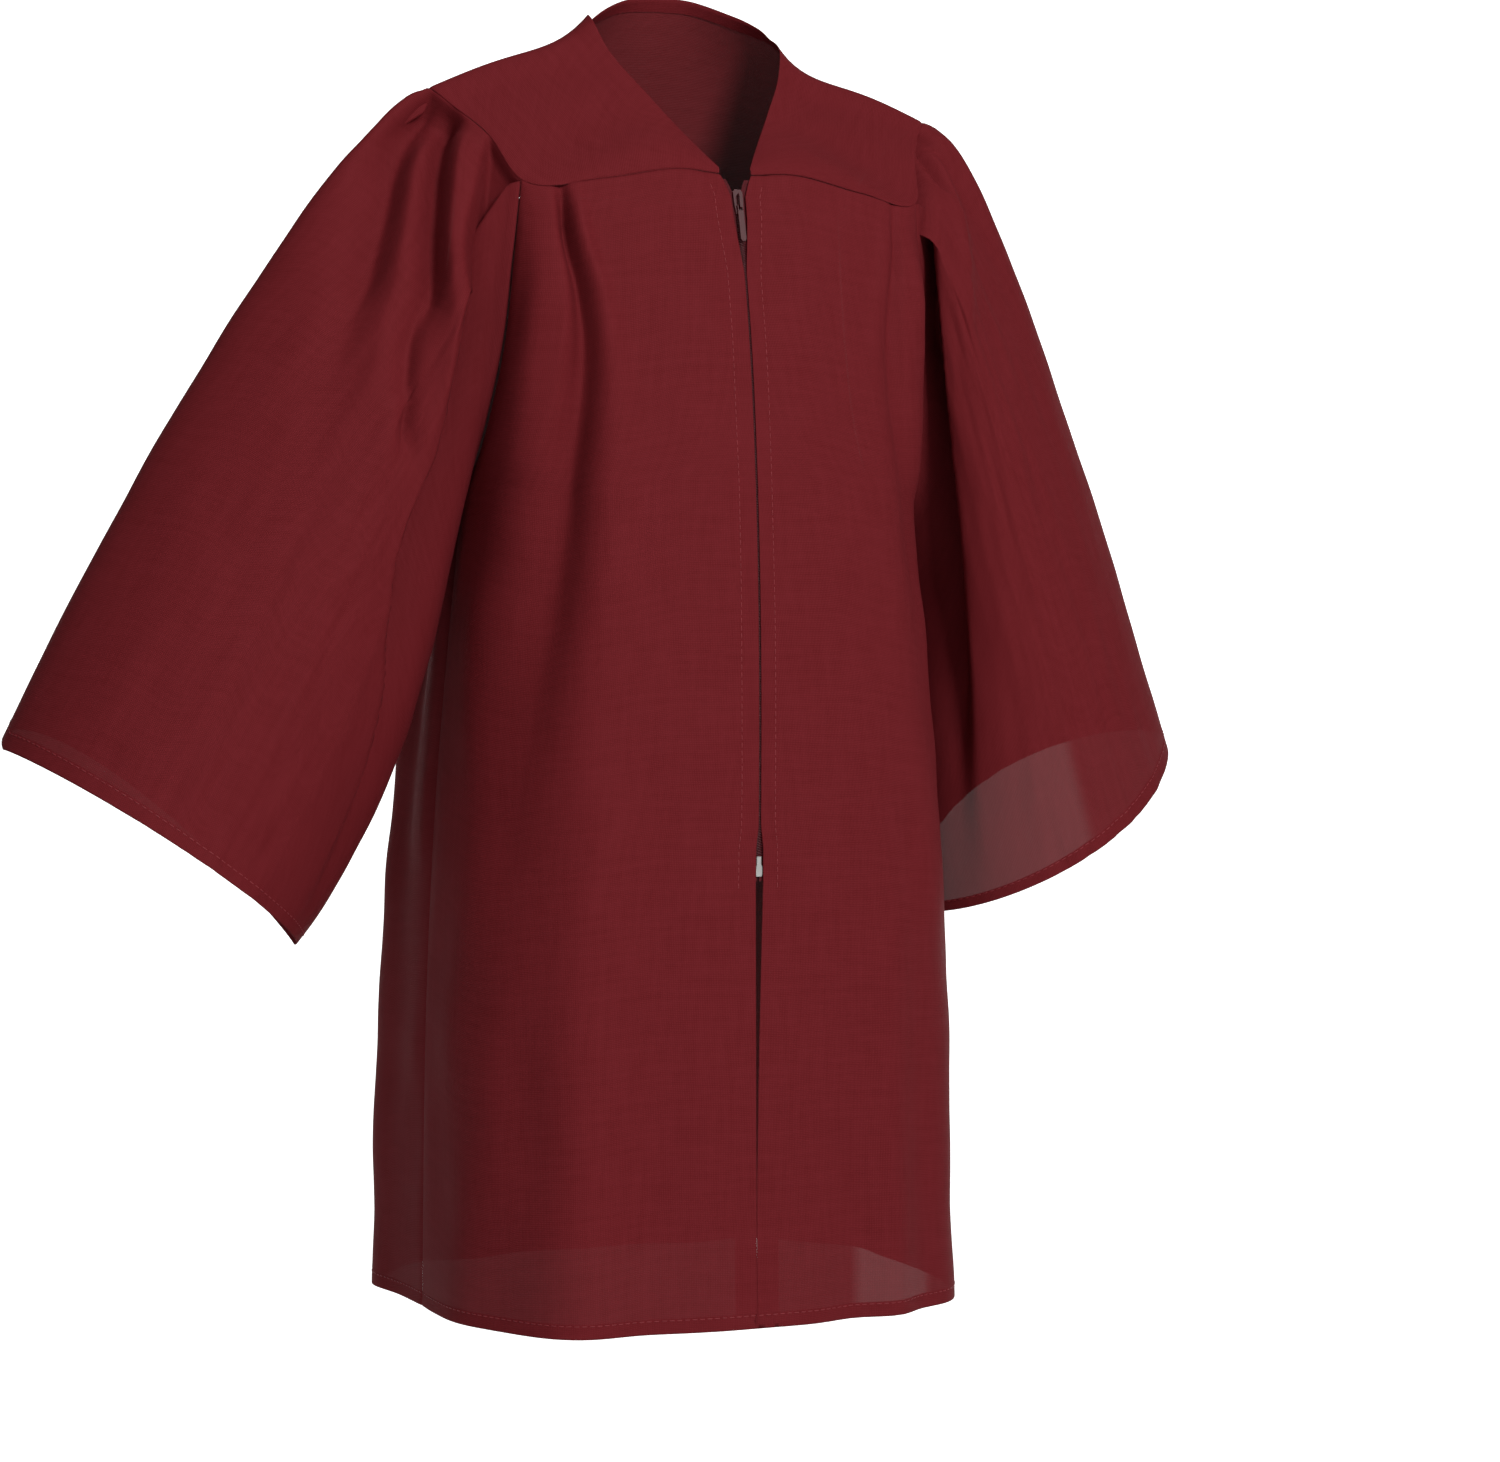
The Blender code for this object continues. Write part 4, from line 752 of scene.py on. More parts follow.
def body_panel(panel, side, turn, z, edge_shift, placed):
    """Body surface with the folds, drapes and unevenness of its panel."""
    points = body_points(side, turn, z) + edge_shift
    out = normals(points)
    if np.mean(np.einsum("ijk,ijk->ij", out[..., :2], points[..., :2])) < 0:
        out = -out
    drapes = "back" if panel == "back" else ("front_left" if side > 0 else "front_right")
    move = np.zeros(turn.shape)
    for fold in BODY_FOLDS[panel]:
        away = PANEL_WIDTH * (panel_place(panel, fold["column"], z) - placed)
        move += (LEFT_FRONT_SHARE if drapes == "front_left" else 1.0) * fold_depth(fold, away, z)
    for drape in DRAPES[drapes]:
        move += drape_depth(drape, placed, z)
    calm = smooth_step((FOLD_TOP_Z - CALM_TOP - z) / CALM_FADE)
    if panel == "front":
        calm = calm * smooth_step(placed / CALM_ZIP)
        move += calm * unevenness(side * placed * PANEL_WIDTH, z, 1.0)
        move *= smooth_step((1.0 - placed) / SIDE_FADE)
    else:
        move += calm * unevenness(side * placed * PANEL_WIDTH, z, 2.0)
        move *= smooth_step(placed / SIDE_FADE) * smooth_step((1.0 - placed) / MIDDLE_FADE)
    return points + out * move[..., None]


def armhole_ring(side):
    """Closed armhole line: underarm, front edge, over the shoulder, back edge."""
    front = armhole_edge("front", side, ARMHOLE_DOWN[::-1])
    over = yoke_edge(side, sleeve_head_places()[1:-1])
    back = armhole_edge("back", side, back_heights(ARMHOLE_DOWN))
    return np.concatenate([front, over, back[:-1]])


def back_heights(low):
    """Heights of the back armhole's rows; its yoke corner is a little higher."""
    top = ARMHOLE_BACK["z"][0]
    share = (low - low[0]) / (low[-1] - low[0])
    return top + share * (low[-1] - top)


def sleeve_head_places():
    """Places of the yoke's edge where the sleeve head has a point."""
    share = (SLEEVE_HEAD - SLEEVE_HEAD[0]) / (SLEEVE_HEAD[-1] - SLEEVE_HEAD[0])
    front = FRONT_CORNER + share * (SHOULDER_END - FRONT_CORNER)
    back = BACK_CORNER - share[::-1] * (BACK_CORNER - SHOULDER_END)
    return np.concatenate([front, back[1:]])


def sleeve_columns():
    """Head place of each column round the sleeve, and its drift down the sleeve."""
    under = np.linspace(0.0, SLEEVE_HEAD[0], len(ARMHOLE_DOWN))
    under_drift = SLEEVE_COLUMNS["drift"][0] * under / SLEEVE_HEAD[0]
    front = np.concatenate([under[:-1], SLEEVE_HEAD])
    head_drift = through(SLEEVE_COLUMNS["head"], SLEEVE_COLUMNS["drift"], SLEEVE_HEAD)
    front_drift = np.concatenate([under_drift[:-1], head_drift])
    back = 1.0 - front[::-1]
    return (np.concatenate([front, back[1:-1]]),
            np.concatenate([-front_drift, front_drift[::-1][1:-1]]))


def ring_map(turn):
    """Share of the half cuff for a place round the sleeve: the head's pleats open out."""
    share = np.where(turn <= 0.5, turn, 1.0 - turn) * 2.0
    return share + 0.05 * np.sin(2.0 * math.pi * share)


def cuff_ring(side, turn):
    """Cuff edge on the +X side: a lens folded at its top and its foot, even along its length."""
    cuff = CUFFS[side]
    top, foot = np.array(cuff["top"]), np.array(cuff["foot"])
    middle, reach = (top + foot) / 2, (top - foot) / 2
    angle = np.linspace(0.0, math.pi, 181)
    along, belly = -np.cos(angle), np.sin(angle) ** CUFF_POINT
    length = run_length(np.stack([along * np.linalg.norm(reach), belly * cuff["front"][0]], axis=-1))
    even = ring_map(turn) * length[-1]
    run = np.interp(even, length, along)
    out = np.interp(even, length, belly)
    points = middle + run[..., None] * reach
    for axis in (0, 1):
        points[..., axis + 1] += out * np.where(turn <= 0.5, cuff["front"][axis], cuff["back"][axis])
    return points


def sleeve_surface(side, turn, down):
    """Plain sleeve surface on the +X side at places round it and shares of its length."""
    ring = armhole_ring(side)
    ring[:, 0] *= side
    heads, _ = sleeve_columns()
    heads, ring = np.append(heads, 1.0), np.concatenate([ring, ring[:1]])
    head = points_at(turn, heads, ring)
    run = SLEEVE_RUN[side]
    leave, reach = (np.stack([through(RUN_PLACES, run[way + axis], turn) for axis in "xyz"], axis=-1)
                    for way in ("leave_", "reach_"))
    t = down[..., None]
    return (head * (2 * t**3 - 3 * t**2 + 1) + leave * (t**3 - 2 * t**2 + t)
            + cuff_ring(side, turn) * (3 * t**2 - 2 * t**3) + reach * (t**3 - t**2))


def from_arm(points):
    """Normals of a sleeve that point away from the arm inside it."""
    out = normals(points, closed=True)
    centre = points.mean(axis=1, keepdims=True)
    return -out if np.mean(np.einsum("ijk,ijk->ij", out, points - centre)) < 0 else out


def sleeve_grid(side, down):
    """Rows from the armhole to the cuff, points round each row; columns follow the pleats."""
    heads, drift = sleeve_columns()
    rows = np.broadcast_to(down[:, None], (len(down), len(heads)))
    around = np.broadcast_to(heads[None], rows.shape)
    turn = heads[None] + drift[None] * smooth_step(rows / DRIFT_RUN) ** DRIFT_BEND
    points = sleeve_surface(side, turn, rows)
    out = from_arm(points)
    move = sum(sleeve_fold(fold, around, rows) for fold in SLEEVE_FOLDS[side] + BACK_SLEEVE_FOLDS)
    move = move + sleeve_creases(side, turn, rows)
    calm = smooth_step((rows - 0.08) / 0.15)
    move = move + 0.6 * calm * unevenness(0.26 * np.cos(math.tau * turn) + 0.3 * turn * (1.0 - turn),
                                          rows * SLEEVE_LENGTH, 3.0 + side)
    points = points + out * move[..., None]
    points[..., 0] *= side
    return points


def sleeve_creases(side, turn, down):
    """Soft creases and swells of one sleeve, each along a line of (place round, share down)."""
    move = np.zeros(turn.shape)
    size = np.array((SLEEVE_GIRTH, SLEEVE_LENGTH))
    at = np.stack([turn, down], axis=-1) * size
    for crease in SLEEVE_CREASES[side]:
        line = np.array(crease["line"]) * size
        best = np.full(turn.shape, np.inf)
        share = np.zeros(turn.shape)
        for index, (a, b) in enumerate(zip(line[:-1], line[1:])):
            along = np.clip(((at - a) @ (b - a)) / ((b - a) @ (b - a)), 0.0, 1.0)
            away = np.linalg.norm(at - a - along[..., None] * (b - a), axis=-1)
            share = np.where(away < best, (index + along) / (len(line) - 1), share)
            best = np.minimum(away, best)
        fade = smooth_step(share / 0.18) * smooth_step((1.0 - share) / 0.30)
        move += crease["out"] * fade * np.exp(-(best / crease["reach"]) ** 1.5)
    recess = SLEEVE_RECESS[side]
    edge = through(recess["down"], recess["edge"], down)
    deep = through(recess["down"], recess["deep"], down)
    inside = smooth_step((edge - turn) / recess["soft"] + 0.5) * smooth_step(turn / 0.14)
    move -= deep * np.where(turn < 0.5, inside, 0.0)
    return move * smooth_step(down / 0.018 + 0.10)


def hem_rows(heights):
    """Rows of a panel down to its hem, with its row of stitches and the fold of its edge."""
    top = HEM_Z + HEM_DEPTH
    return np.concatenate([heights, [top + 0.0015, top, top - 0.0015, HEM_Z + 0.001, HEM_Z]])


def panel_points(panel, side):
    """One front, from the zip to the side, or one half of the back, from the side to its middle."""
    front = panel == "front"
    across = FRONT_ACROSS if front else BACK_ACROSS
    seam = yoke_edge(side, across * FRONT_CORNER if front else back_places())
    hole = ARMHOLE_DOWN if front else back_heights(ARMHOLE_DOWN)
    edge_z = hem_rows(np.concatenate([hole, SIDE_DOWN]))
    down = (edge_z - edge_z[0]) / (edge_z[-1] - edge_z[0])
    z = seam[None, :, 2] + down[:, None] * (HEM_Z - seam[None, :, 2])
    placed = panel_place(panel, across[None], z)

    # How far round the body each point lies, between the zip and the side or the side and the back
    corner_z, corner_turn = (ARMHOLE_FRONT["z"][0], FRONT_CORNER_TURN) if front else \
        (ARMHOLE_BACK["z"][0], BACK_CORNER_TURN)
    side_turn = np.interp(edge_z, (UNDERARM_Z, corner_z), (0.5, corner_turn))
    if front:
        girth = np.array([front_girth(height) for height in z[:, 0]])
        start = 0.5 * np.interp(z[:, 0], FRONT_GAP["z"], FRONT_GAP["gap"]) / girth
        end = side_turn
    else:
        start, end = side_turn, np.ones_like(side_turn)
    turn = start[:, None] + placed * (end - start)[:, None]

    # The armhole pulls the panel onto its line, and the yoke's seam pulls its top row
    plain = body_points(side, turn, z)
    low = edge_z > UNDERARM_Z - 1e-6
    edge, from_hole = (-1, 1.0 - placed) if front else (0, placed)
    target = armhole_edge(panel, side, edge_z[low])
    shift = np.zeros_like(plain)
    near = smooth_step(1.0 - from_hole[low] / HOLE_PULL)[..., None]
    shift[low] = near * (target - plain[low, edge])[:, None]
    shift[..., 2] = 0.0
    top_pull = seam - (plain[0] + shift[0])
    top_pull[:, 2] = 0.0
    fade = (1.0 - smooth_step((edge_z[0] - edge_z) / SEAM_PULL))[:, None, None]
    points = body_panel(panel, side, turn, z, shift + fade * top_pull[None], placed)
    points[low, edge, :2] = target[:, :2]
    if not front:
        points[:, -1, 0] = 0.0
    points[..., 2] -= HEM_TILT * points[..., 0] * down[:, None] ** 2
    return points


def back_points():
    """The whole back, from the wearer's right side to the left."""
    right, left = panel_points("back", -1), panel_points("back", 1)
    middle = 0.5 * (right[:, -1] + left[:, -1])
    return np.concatenate([right[:, :-1], middle[:, None], left[:, ::-1][:, 1:]], axis=1)


def yoke_points():
    """The yoke, rows from one front round the neck to the other, columns from the neck out."""
    places = np.concatenate([FRONT_ACROSS * FRONT_CORNER, sleeve_head_places()[1:-1], back_places()])
    right = yoke_half(-1, places, YOKE_ACROSS)
    left = yoke_half(1, places, YOKE_ACROSS)
    return np.concatenate([right, left[::-1][1:]], axis=0)

# %% [markdown]
# From a grid of points to cloth. Each panel becomes one open sheet of faces with smooth
# shading. Its UV map is measured along the cloth itself, in metres, so that the weave keeps
# its true size on every panel. At a seam the cloth rolls in by under a millimetre, which
# makes the fine dark line of a pressed seam, and at a hem it is turned up inside.

# %% Cloth from a grid
SEAM_ROLL = 0.0011
SIDE_SEAM_ROLL = 0.45 * SEAM_ROLL
ROLL_REACH = 0.0010
TURN_OFFSET = 0.0005
TURN_ROWS = (0.02, 0.35, 0.70, 1.0)


def outward(points):
    """Normals of a grid that point away from the body inside it."""
    out = normals(points)
    centre = points.mean(axis=1, keepdims=True)
    sense = np.einsum("ijk,ijk->ij", out[..., :2], (points - centre)[..., :2])
    return -out if np.median(sense) < 0 else out


def yoke_outward(points):
    """Normals of the yoke, which lies over the shoulders, so they point up."""
    out = normals(points)
    return -out if np.median(out[..., 2]) < 0 else out


def roll_in(points, out, rows=(), cols=()):
    """Roll the cloth in along its seam edges: rows and cols name the edges, 0 or -1."""
    move = np.zeros(points.shape[:2])
    for axis, edges, deep in ((0, rows, SEAM_ROLL), (1, cols, SIDE_SEAM_ROLL)):
        start = run_length(points, axis)
        for edge in edges:
            away = start if edge == 0 else np.take(start, [-1], axis=axis) - start
            move = np.maximum(move, deep * np.exp(-away / ROLL_REACH))
    return points - out * move[..., None]


def row_at(points, out, height):
    """A line across a panel at one height above its last row, with its normals."""
    place = np.interp(height, run_length(points[::-1]).mean(axis=1), np.arange(len(points)))
    low, part = int(place), place - int(place)
    high = min(low + 1, len(points) - 1)
    back, norm = points[::-1], out[::-1]
    return back[low] * (1 - part) + back[high] * part, norm[low] * (1 - part) + norm[high] * part


def turned(points, out, depth, axis=0, end=-1):
    """Add the rows or columns of a hem turned in behind one edge of a grid."""
    grid, face = (np.swapaxes(points, 0, 1), np.swapaxes(out, 0, 1)) if axis else (points, out)
    if end == 0:
        grid, face = grid[::-1], face[::-1]
    extra = [grid[-1] - face[-1] * 0.45 * TURN_OFFSET]
    for share in TURN_ROWS:
        line, norm = row_at(grid, face, share * depth)
        extra.append(line - norm * TURN_OFFSET)
    grid = np.concatenate([grid, extra], axis=0)
    if end == 0:
        grid = grid[::-1]
    return np.swapaxes(grid, 0, 1) if axis else grid


def cloth_piece(name, points, closed=False, across=1, sheer=None):
    """One sheet of cloth from a grid, with its UV map in metres; across names the weft's axis."""
    rows, cols = points.shape[:2]
    ring = np.concatenate([points, points[:, :1]], axis=1) if closed else points
    wide, tall = run_length(ring, 1), run_length(ring, 0)
    wide = wide - wide[:, -1:] / 2
    cut = np.stack([wide, -tall] if across == 1 else [tall, wide], axis=-1)
    i, j = np.meshgrid(np.arange(rows - 1), np.arange(cols if closed else cols - 1), indexing="ij")
    k = (j + 1) % cols
    corners = np.stack([i * cols + j, i * cols + k, (i + 1) * cols + k, (i + 1) * cols + j], axis=-1)
    flat = np.stack([cut[i, j], cut[i, j + 1], cut[i + 1, j + 1], cut[i + 1, j]], axis=2)
    mesh = bpy.data.meshes.new(name)
    mesh.from_pydata(points.reshape(-1, 3).tolist(), [], corners.reshape(-1, 4).tolist())
    mesh.uv_layers.new(name="cut").data.foreach_set("uv", flat.astype(np.float32).ravel())
    thin = np.zeros(points.shape[:2]) if sheer is None else sheer
    values = mesh.attributes.new("sheer", "FLOAT", "POINT").data
    values.foreach_set("value", thin.astype(np.float32).ravel())
    piece = add_piece(name, mesh, polyester)
    area = sum(face.area for face in mesh.polygons)
    print(f"{name}: {len(mesh.polygons)} faces, {area:.4f} m2")
    return piece


# %% [markdown]
# Sewing. A lockstitch shows as a row of short threads, each pulled into the cloth at its ends.
# On this gown they are 3 mm long. Each is a small spindle that lies on the cloth, and one mesh
# holds a whole row of them, so a row rides and is listed as one piece.

# %% Rows of stitches
STITCH = 0.0031
STITCH_STEP = 0.0039
STITCH_RADIUS = 0.00026
STITCH_LIFT = 0.00012

# Rings of one stitch: share of its length, size, and lift above or into the cloth
STITCH_RINGS = ((0.0, 0.35, -1.6), (0.18, 0.9, 0.5), (0.5, 1.0, 1.0), (0.82, 0.9, 0.5),
                (1.0, 0.35, -1.6))
STITCH_SIDES = 6


def stitch_row(name, line, out):
    """One row of stitches along a line of points on the cloth, out being its normals there."""
    lengths = run_length(line)
    places = np.arange(0.0, lengths[-1] - STITCH, STITCH_STEP)
    mesh = bmesh.new()
    for start in places:
        shares = start + STITCH * np.array([ring[0] for ring in STITCH_RINGS])
        centre, normal = points_at(shares, lengths, line), points_at(shares, lengths, out)
        normal /= np.maximum(np.linalg.norm(normal, axis=1, keepdims=True), 1e-9)
        ahead = np.gradient(centre, axis=0)
        side = np.cross(normal, ahead)
        side /= np.maximum(np.linalg.norm(side, axis=1, keepdims=True), 1e-9)
        rings = []
        for point, up, beside, (_, size, lift) in zip(centre, normal, side, STITCH_RINGS):
            middle = point + up * STITCH_LIFT * lift
            angles = math.tau * np.arange(STITCH_SIDES)[:, None] / STITCH_SIDES
            around = np.cos(angles) * beside + 0.75 * np.sin(angles) * up
            rings.append([mesh.verts.new(middle + STITCH_RADIUS * size * way) for way in around])
        for first, second in zip(rings, rings[1:]):
            for turn in range(STITCH_SIDES):
                after = (turn + 1) % STITCH_SIDES
                mesh.faces.new((first[turn], first[after], second[after], second[turn]))
        mesh.faces.new(rings[0][::-1])
        mesh.faces.new(rings[-1])
    data = bpy.data.meshes.new(name)
    mesh.to_mesh(data)
    mesh.free()
    print(f"{name}: {len(places)} stitches")
    return add_piece(name, data, thread)


# %% [markdown]
# The fronts. Each front is cut a little wider than it hangs, because its pleat takes cloth
# in. Its zip edge and its hem are turned in, and it is sewn down beside the zip. The row of
# stitches pulls the cloth in slightly, which shows as a shallow line.

# %% The two fronts
NAMES = {-1: "right", 1: "left"}
HEM_STITCH = 0.0066
ZIP_STITCH = {-1: 0.0095, 1: 0.0080}
ZIP_STITCH_Z = (-0.450, -0.0885)
ZIP_TURN = 0.0100
PULL, PULL_REACH, PULL_FOOT_Z = 0.00035, 0.0022, -0.46
SHEER_HEM_X = (0.045, 0.098)
SHEER_HEM_Z = -0.575
BEHIND_CHEST = np.array((0.0, 0.01, 0.0))
pieces, stitches = {}, {}

for side in (-1, 1):
    name = "front_" + NAMES[side]
    points = panel_points("front", side)
    out = outward(points - BEHIND_CHEST)
    from_zip = run_length(points, 1)
    pull = PULL * np.exp(-((from_zip - ZIP_STITCH[side]) / PULL_REACH) ** 2)
    pull = pull * smooth_step((points[..., 2] - PULL_FOOT_Z) / 0.02)
    points = roll_in(points - out * pull[..., None], out, rows=(0,), cols=(-1,))
    hem_line, hem_out = row_at(points, out, HEM_STITCH)
    rows = (points[:, 0, 2] > ZIP_STITCH_Z[0]) & (points[:, 0, 2] < ZIP_STITCH_Z[1])
    zip_line, zip_out = (np.array([points_at(ZIP_STITCH[side], reach, row)
                                   for row, reach in zip(grid[rows], from_zip[rows])])
                         for grid in (points, out))
    stitches[name] = [stitch_row("hem_stitches_" + name, hem_line[1:-1], hem_out[1:-1]),
                      stitch_row("zip_stitches_" + NAMES[side], zip_line, zip_out)]
    whole = turned(points, out, HEM_DEPTH)
    whole = turned(whole, outward(whole - BEHIND_CHEST), ZIP_TURN, axis=1, end=0)
    sheer = None
    if side > 0:
        x, z = whole[..., 0], whole[..., 2]
        sheer = (smooth_step((x - SHEER_HEM_X[0]) / 0.006) * smooth_step((SHEER_HEM_X[1] - x) / 0.006)
                 * smooth_step((SHEER_HEM_Z - z) / 0.01))
    pieces[name] = cloth_piece(name + "_cloth", whole, sheer=sheer)

# %% [markdown]
# The back. It hangs from the yoke in three pleats on each side, as the front does, and falls
# straighter because nothing parts it.

# %% The back
points = back_points()
out = outward(points + BEHIND_CHEST)
points = roll_in(points, out, rows=(0,), cols=(0, -1))
hem_line, hem_out = row_at(points, out, HEM_STITCH)
stitches["back"] = [stitch_row("hem_stitches_back", hem_line[1:-1], hem_out[1:-1])]
pieces["back"] = cloth_piece("back_cloth", turned(points, out, HEM_DEPTH))

# %% [markdown]
# The sleeves. Each is one piece of cloth, sewn to a tube under the arm and gathered in
# pleats at its head, so it widens to a bell at the cuff. The cuff is turned in like the hem.

# %% The two sleeves
SHEER_CUFF = {-1: (0.02, 0.40), 1: (0.01, 0.38)}
SHEER_CUFF_DOWN = 0.70
CUFF_ROWS = np.array((1.9, 1.15, 1.0, 0.85, 0.15, 0.0))
sleeve_rows = np.unique(np.concatenate([SLEEVE_DOWN, 1.0 - CUFF_ROWS * HEM_DEPTH / SLEEVE_LENGTH]))
heads, _ = sleeve_columns()

for side in (-1, 1):
    name = "sleeve_" + NAMES[side]
    points = sleeve_grid(side, sleeve_rows)
    out = from_arm(points)
    points = roll_in(points, out, rows=(0,))
    cuff_line, cuff_out = (np.concatenate([line, line[:1]]) for line in row_at(points, out, HEM_STITCH))
    stitches[name] = [stitch_row("cuff_stitches_" + NAMES[side], cuff_line, cuff_out)]
    whole = turned(points, out, HEM_DEPTH)
    near, far = SHEER_CUFF[side]
    sheer = smooth_step((heads - near) / 0.015) * smooth_step((far - heads) / 0.03)
    rise = np.concatenate([np.linspace(0.0, 1.0, len(points)), np.ones(len(whole) - len(points))])
    sheer = sheer[None] * smooth_step((rise[:, None] - SHEER_CUFF_DOWN) / 0.05)
    pieces[name] = cloth_piece(name + "_cloth", whole, closed=True, sheer=sheer)

# %% [markdown]
# The yoke. One piece lies over both shoulders and round the back of the neck. Its neck edge
# is turned in on itself, and its outer edge is the seam that everything else hangs from.

# %% The yoke
points = yoke_points()
out = yoke_outward(points)
points = roll_in(points, out, cols=(-1,))
pieces["yoke"] = cloth_piece("yoke_cloth", turned(points, out, HEM_DEPTH, axis=1, end=0), across=0)
stitches["yoke"] = []

# %% [markdown]
# The zip's coil. The teeth of a light zip are one nylon filament per side, wound in loops
# 1.25 mm apart and sewn along the edges of the two tapes, so that the loops of one side
# mesh between those of the other. Each side is a flat spiral of a thin tube.

# %% Coil teeth
COIL_STEP = 0.00125
COIL_WIDE = 0.0012
COIL_THICK = 0.00048
FILAMENT = 0.00024
COIL_TOP, COIL_FOOT = -0.1040, -0.4290
COIL_BEHIND = 0.0012
COIL_APART = 0.00055
COIL_STEPS = 8
FILAMENT_SIDES = 5


def coil(name, side):
    """One side's filament, from the slider down to the bottom stop."""
    turns = int((COIL_TOP - COIL_FOOT) / COIL_STEP)
    angles = np.linspace(0.0, math.tau * turns, turns * COIL_STEPS + 1)
    z = COIL_TOP - COIL_STEP * (angles / math.tau + 0.25 * (1 - side))
    some = z[::COIL_STEPS]
    centre = body_points(1, np.zeros(len(some)), some)
    x = np.interp(-z, -some, centre[:, 0]) + side * COIL_APART
    y = np.interp(-z, -some, centre[:, 1]) + COIL_BEHIND
    line = np.stack([x + COIL_WIDE * np.cos(angles), y + COIL_THICK * np.sin(angles), z], axis=-1)
    ahead = np.gradient(line, axis=0)
    ahead /= np.linalg.norm(ahead, axis=1, keepdims=True)
    beside = np.cross(ahead, np.broadcast_to((0.0, 0.0, 1.0), line.shape))
    beside /= np.linalg.norm(beside, axis=1, keepdims=True)
    above = np.cross(beside, ahead)
    ways = [math.tau * k / FILAMENT_SIDES for k in range(FILAMENT_SIDES)]
    rings = np.stack([line + FILAMENT * (math.cos(way) * beside + math.sin(way) * above)
                      for way in ways], axis=1)
    i, k = np.meshgrid(np.arange(len(rings) - 1), np.arange(FILAMENT_SIDES), indexing="ij")
    first, after = i * FILAMENT_SIDES, (k + 1) % FILAMENT_SIDES
    second = first + FILAMENT_SIDES
    faces = np.stack([first + k, first + after, second + after, second + k], axis=-1).reshape(-1, 4)
    mesh = bpy.data.meshes.new(name)
    mesh.from_pydata(rings.reshape(-1, 3).tolist(), [], faces.tolist())
    print(f"{name}: {turns} teeth")
    return add_piece(name, mesh, nylon)


coils = [coil("coil_teeth_" + NAMES[side], side) for side in (-1, 1)]

# %% [markdown]
# The zip's hard parts keep their solids, which are the right shape already. They get their
# finishes, and a small bevel rounds their edges, because cast and pressed metal has no
# knife edges and a rounded edge catches a line of light.

# %% Finishes of the zip's own parts
EDGE_RADIUS = 0.00015
for name, finish in (("zip_tape_left", tape_cloth), ("zip_tape_right", tape_cloth),
                     ("zip_slider", lacquer), ("zip_pull_tab", lacquer),
                     ("zip_bottom_stop", aluminium)):
    for slot in nodes[name].material_slots:
        slot.material = finish
    if finish is not tape_cloth:
        rounding = nodes[name].modifiers.new("rounded edges", "BEVEL")
        rounding.width = EDGE_RADIUS
        rounding.segments = 2
        rounding.limit_method = "ANGLE"
print("zip finished")

# %% [markdown]
# Which piece stands for which solid. Every piece and its rows of stitches ride on the gown's
# body, as do the coils, and the solid that a piece stands in for is hidden.

# %% Bodies of the pieces
for name, piece in pieces.items():
    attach(piece, "gown")
    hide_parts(name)
    for row in stitches[name]:
        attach(row, "gown")
for piece in coils:
    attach(piece, "gown")

# %% [markdown]
# The stage. A pale floor curves up into a pale backdrop, so there is no line behind the gown.

# %% Floor and backdrop
FLOOR_Z = -0.860
VIEW_TURN = math.radians(-26.08)
STAGE_HALF = 2.6
FLOOR_END = 0.38
BEND_START = 3.4
BEND_RADIUS = 0.8


def paper(name, glow):
    """Matte white paper; glow evens out the backdrop, as a lamp behind the paper would."""
    material, shader = new_material(name, {
        "Roughness": 0.9, "Emission Color": linear("#FFFFFF"), "Emission Strength": glow,
    })
    fibre = add_node(material, "ShaderNodeTexNoise", {}, {"Scale": 60.0, "Detail": 3.0})
    tone = add_node(material, "ShaderNodeMix", {"data_type": "RGBA"},
                    {"A": linear("#F6F6F4"), "B": linear("#FBFBFA")}, {"Factor": fibre.outputs["Fac"]})
    material.node_tree.links.new(tone.outputs["Result"], shader.inputs["Base Color"])
    return material


def stage_strip(name, profile, material):
    """A strip of the stage swept across the view; profile holds (depth, height) behind the gown."""
    points = []
    for across in (-STAGE_HALF, STAGE_HALF):
        for deep, high in profile:
            points.append((across * math.cos(VIEW_TURN) - deep * math.sin(VIEW_TURN),
                           across * math.sin(VIEW_TURN) + deep * math.cos(VIEW_TURN),
                           FLOOR_Z + high))
    steps = len(profile)
    mesh = bpy.data.meshes.new(name)
    mesh.from_pydata(points, [], [(i, i + 1, steps + i + 1, steps + i) for i in range(steps - 1)])
    thing = add_piece(name, mesh, material)


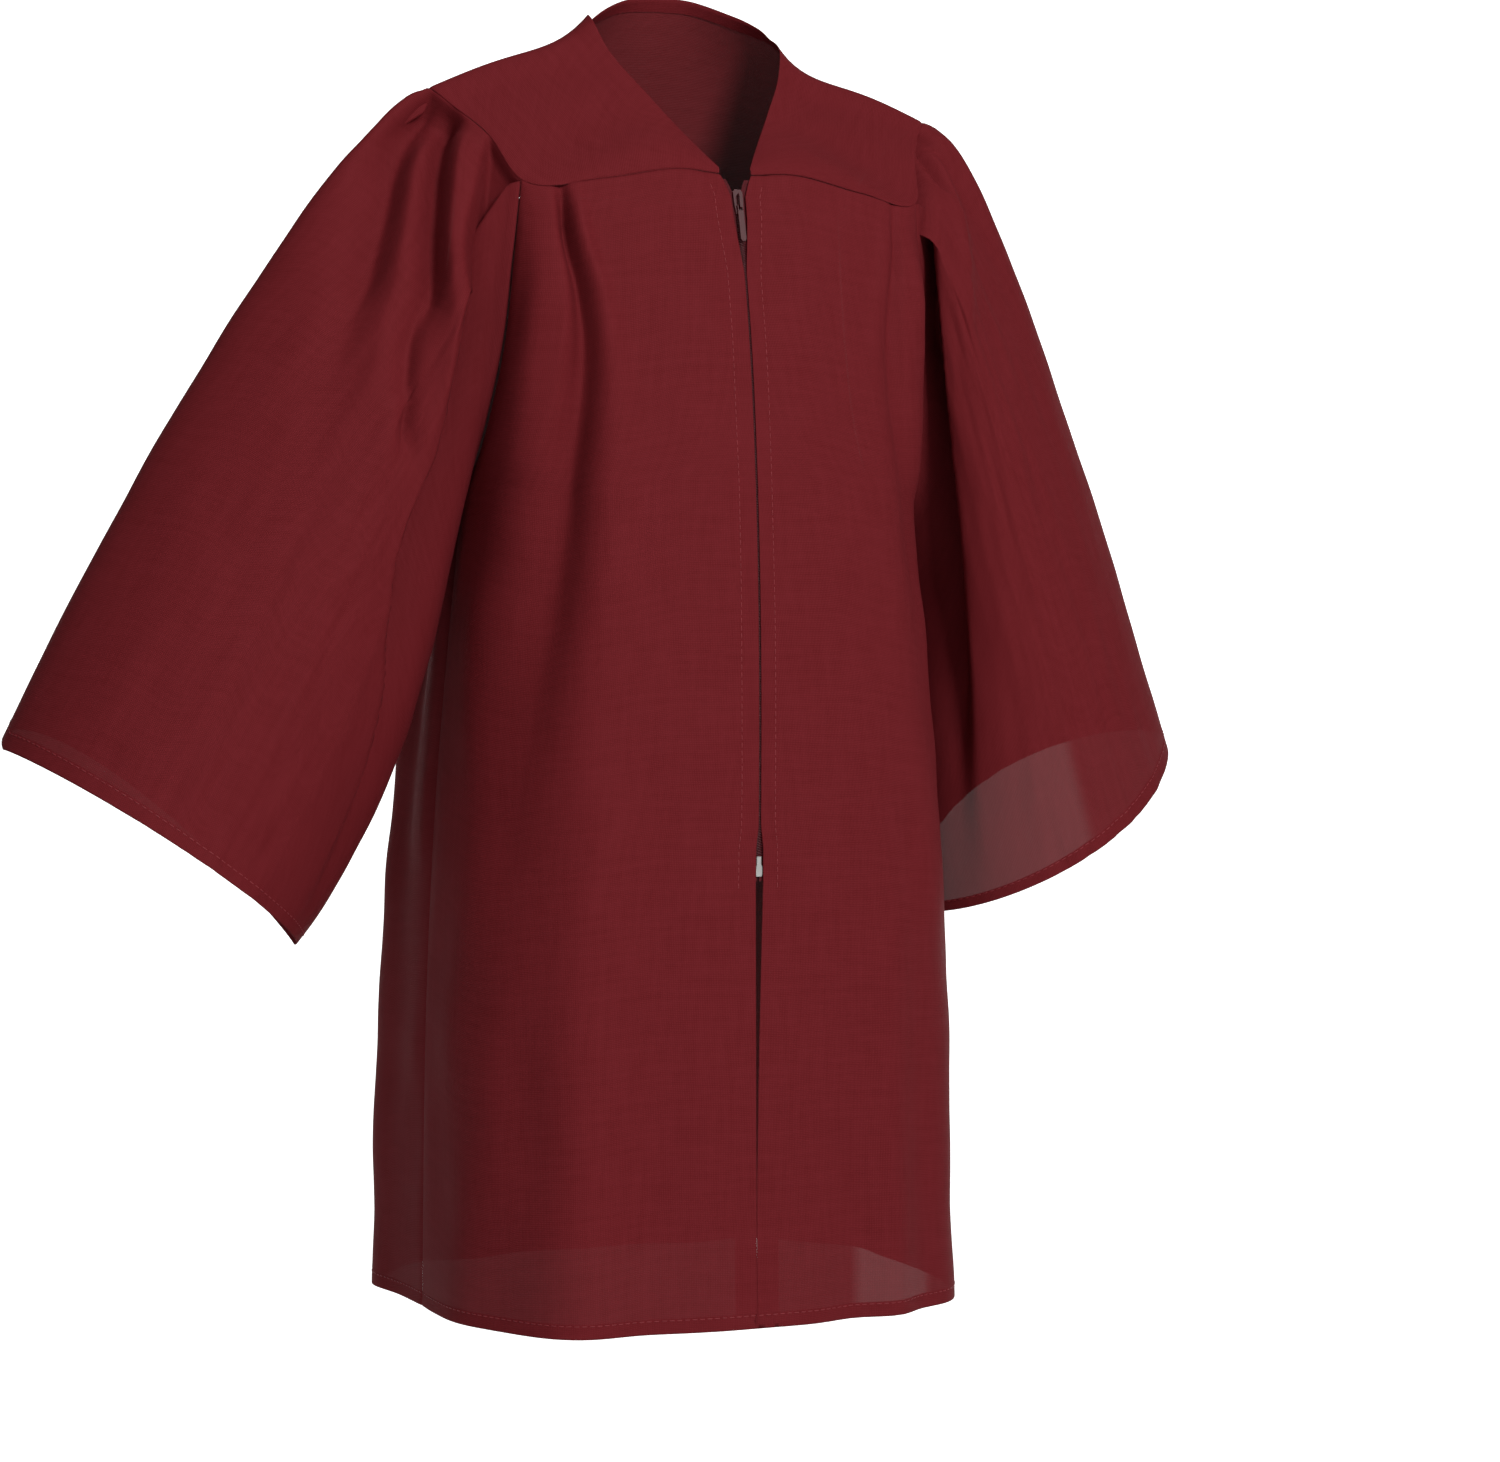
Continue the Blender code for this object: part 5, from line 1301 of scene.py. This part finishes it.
bend = [(BEND_START + BEND_RADIUS * math.sin(t), BEND_RADIUS - BEND_RADIUS * math.cos(t))
        for t in np.linspace(0.1, math.pi / 2, 14)]
stage_strip("floor", [(-3.0, 0.0), (FLOOR_END, 0.0)], paper("matte white paper, floor", 0.04))
stage_strip("backdrop", [(FLOOR_END, 0.0), (BEND_START, 0.0)] + bend + [(4.2, 3.6)],
            paper("matte white paper, lit", 0.90))

# %% [markdown]
# The light. The photo has soft studio light: a large key near the camera, a little to its
# right, a weaker fill from its left and one from above. Large lamps shade the pleats softly.

# %% Studio lamps
AIM = (0.0, 0.0, -0.32)


def lamp(name, place, size, power):
    """A square soft lamp that points at the gown."""
    data = bpy.data.lights.new(name, "AREA")
    data.shape = "SQUARE"
    data.size = size
    data.energy = power
    thing = bpy.data.objects.new(name, data)
    bpy.context.collection.objects.link(thing)
    thing.location = place
    toward = np.array(AIM) - np.array(place)
    thing.rotation_euler = (math.atan2(np.hypot(toward[0], toward[1]), -toward[2]), 0.0,
                            math.atan2(toward[1], toward[0]) - math.pi / 2)


lamp("key", (0.35, -2.95, 1.40), 0.9, 74.0)
lamp("fill", (-2.10, -1.70, 0.40), 1.5, 6.0)
lamp("top", (0.10, -0.30, 2.00), 1.3, 7.0)
world = bpy.data.worlds.new("studio")
world.use_nodes = True
world.node_tree.nodes["Background"].inputs["Color"].default_value = linear("#F4F4F4")
world.node_tree.nodes["Background"].inputs["Strength"].default_value = 0.12
bpy.context.scene.world = world
bpy.context.scene.view_settings.view_transform = "Standard"

# %% [markdown]
# The camera stands at the photo's three-quarter view from the wearer's right, almost level
# with the middle of the gown, with an 85 mm lens so that the gown isn't stretched.

# %% Camera
camera_data = bpy.data.cameras.new("photo view")
camera_data.lens = 85.0
camera_data.sensor_width = 36.0
camera_data.sensor_fit = "HORIZONTAL"
camera = bpy.data.objects.new("photo view", camera_data)
bpy.context.collection.objects.link(camera)
camera.location = (-0.7878, -1.6894, -0.3094)
camera.rotation_euler = (math.radians(88.2), 0.0, VIEW_TURN)
bpy.context.scene.camera = camera
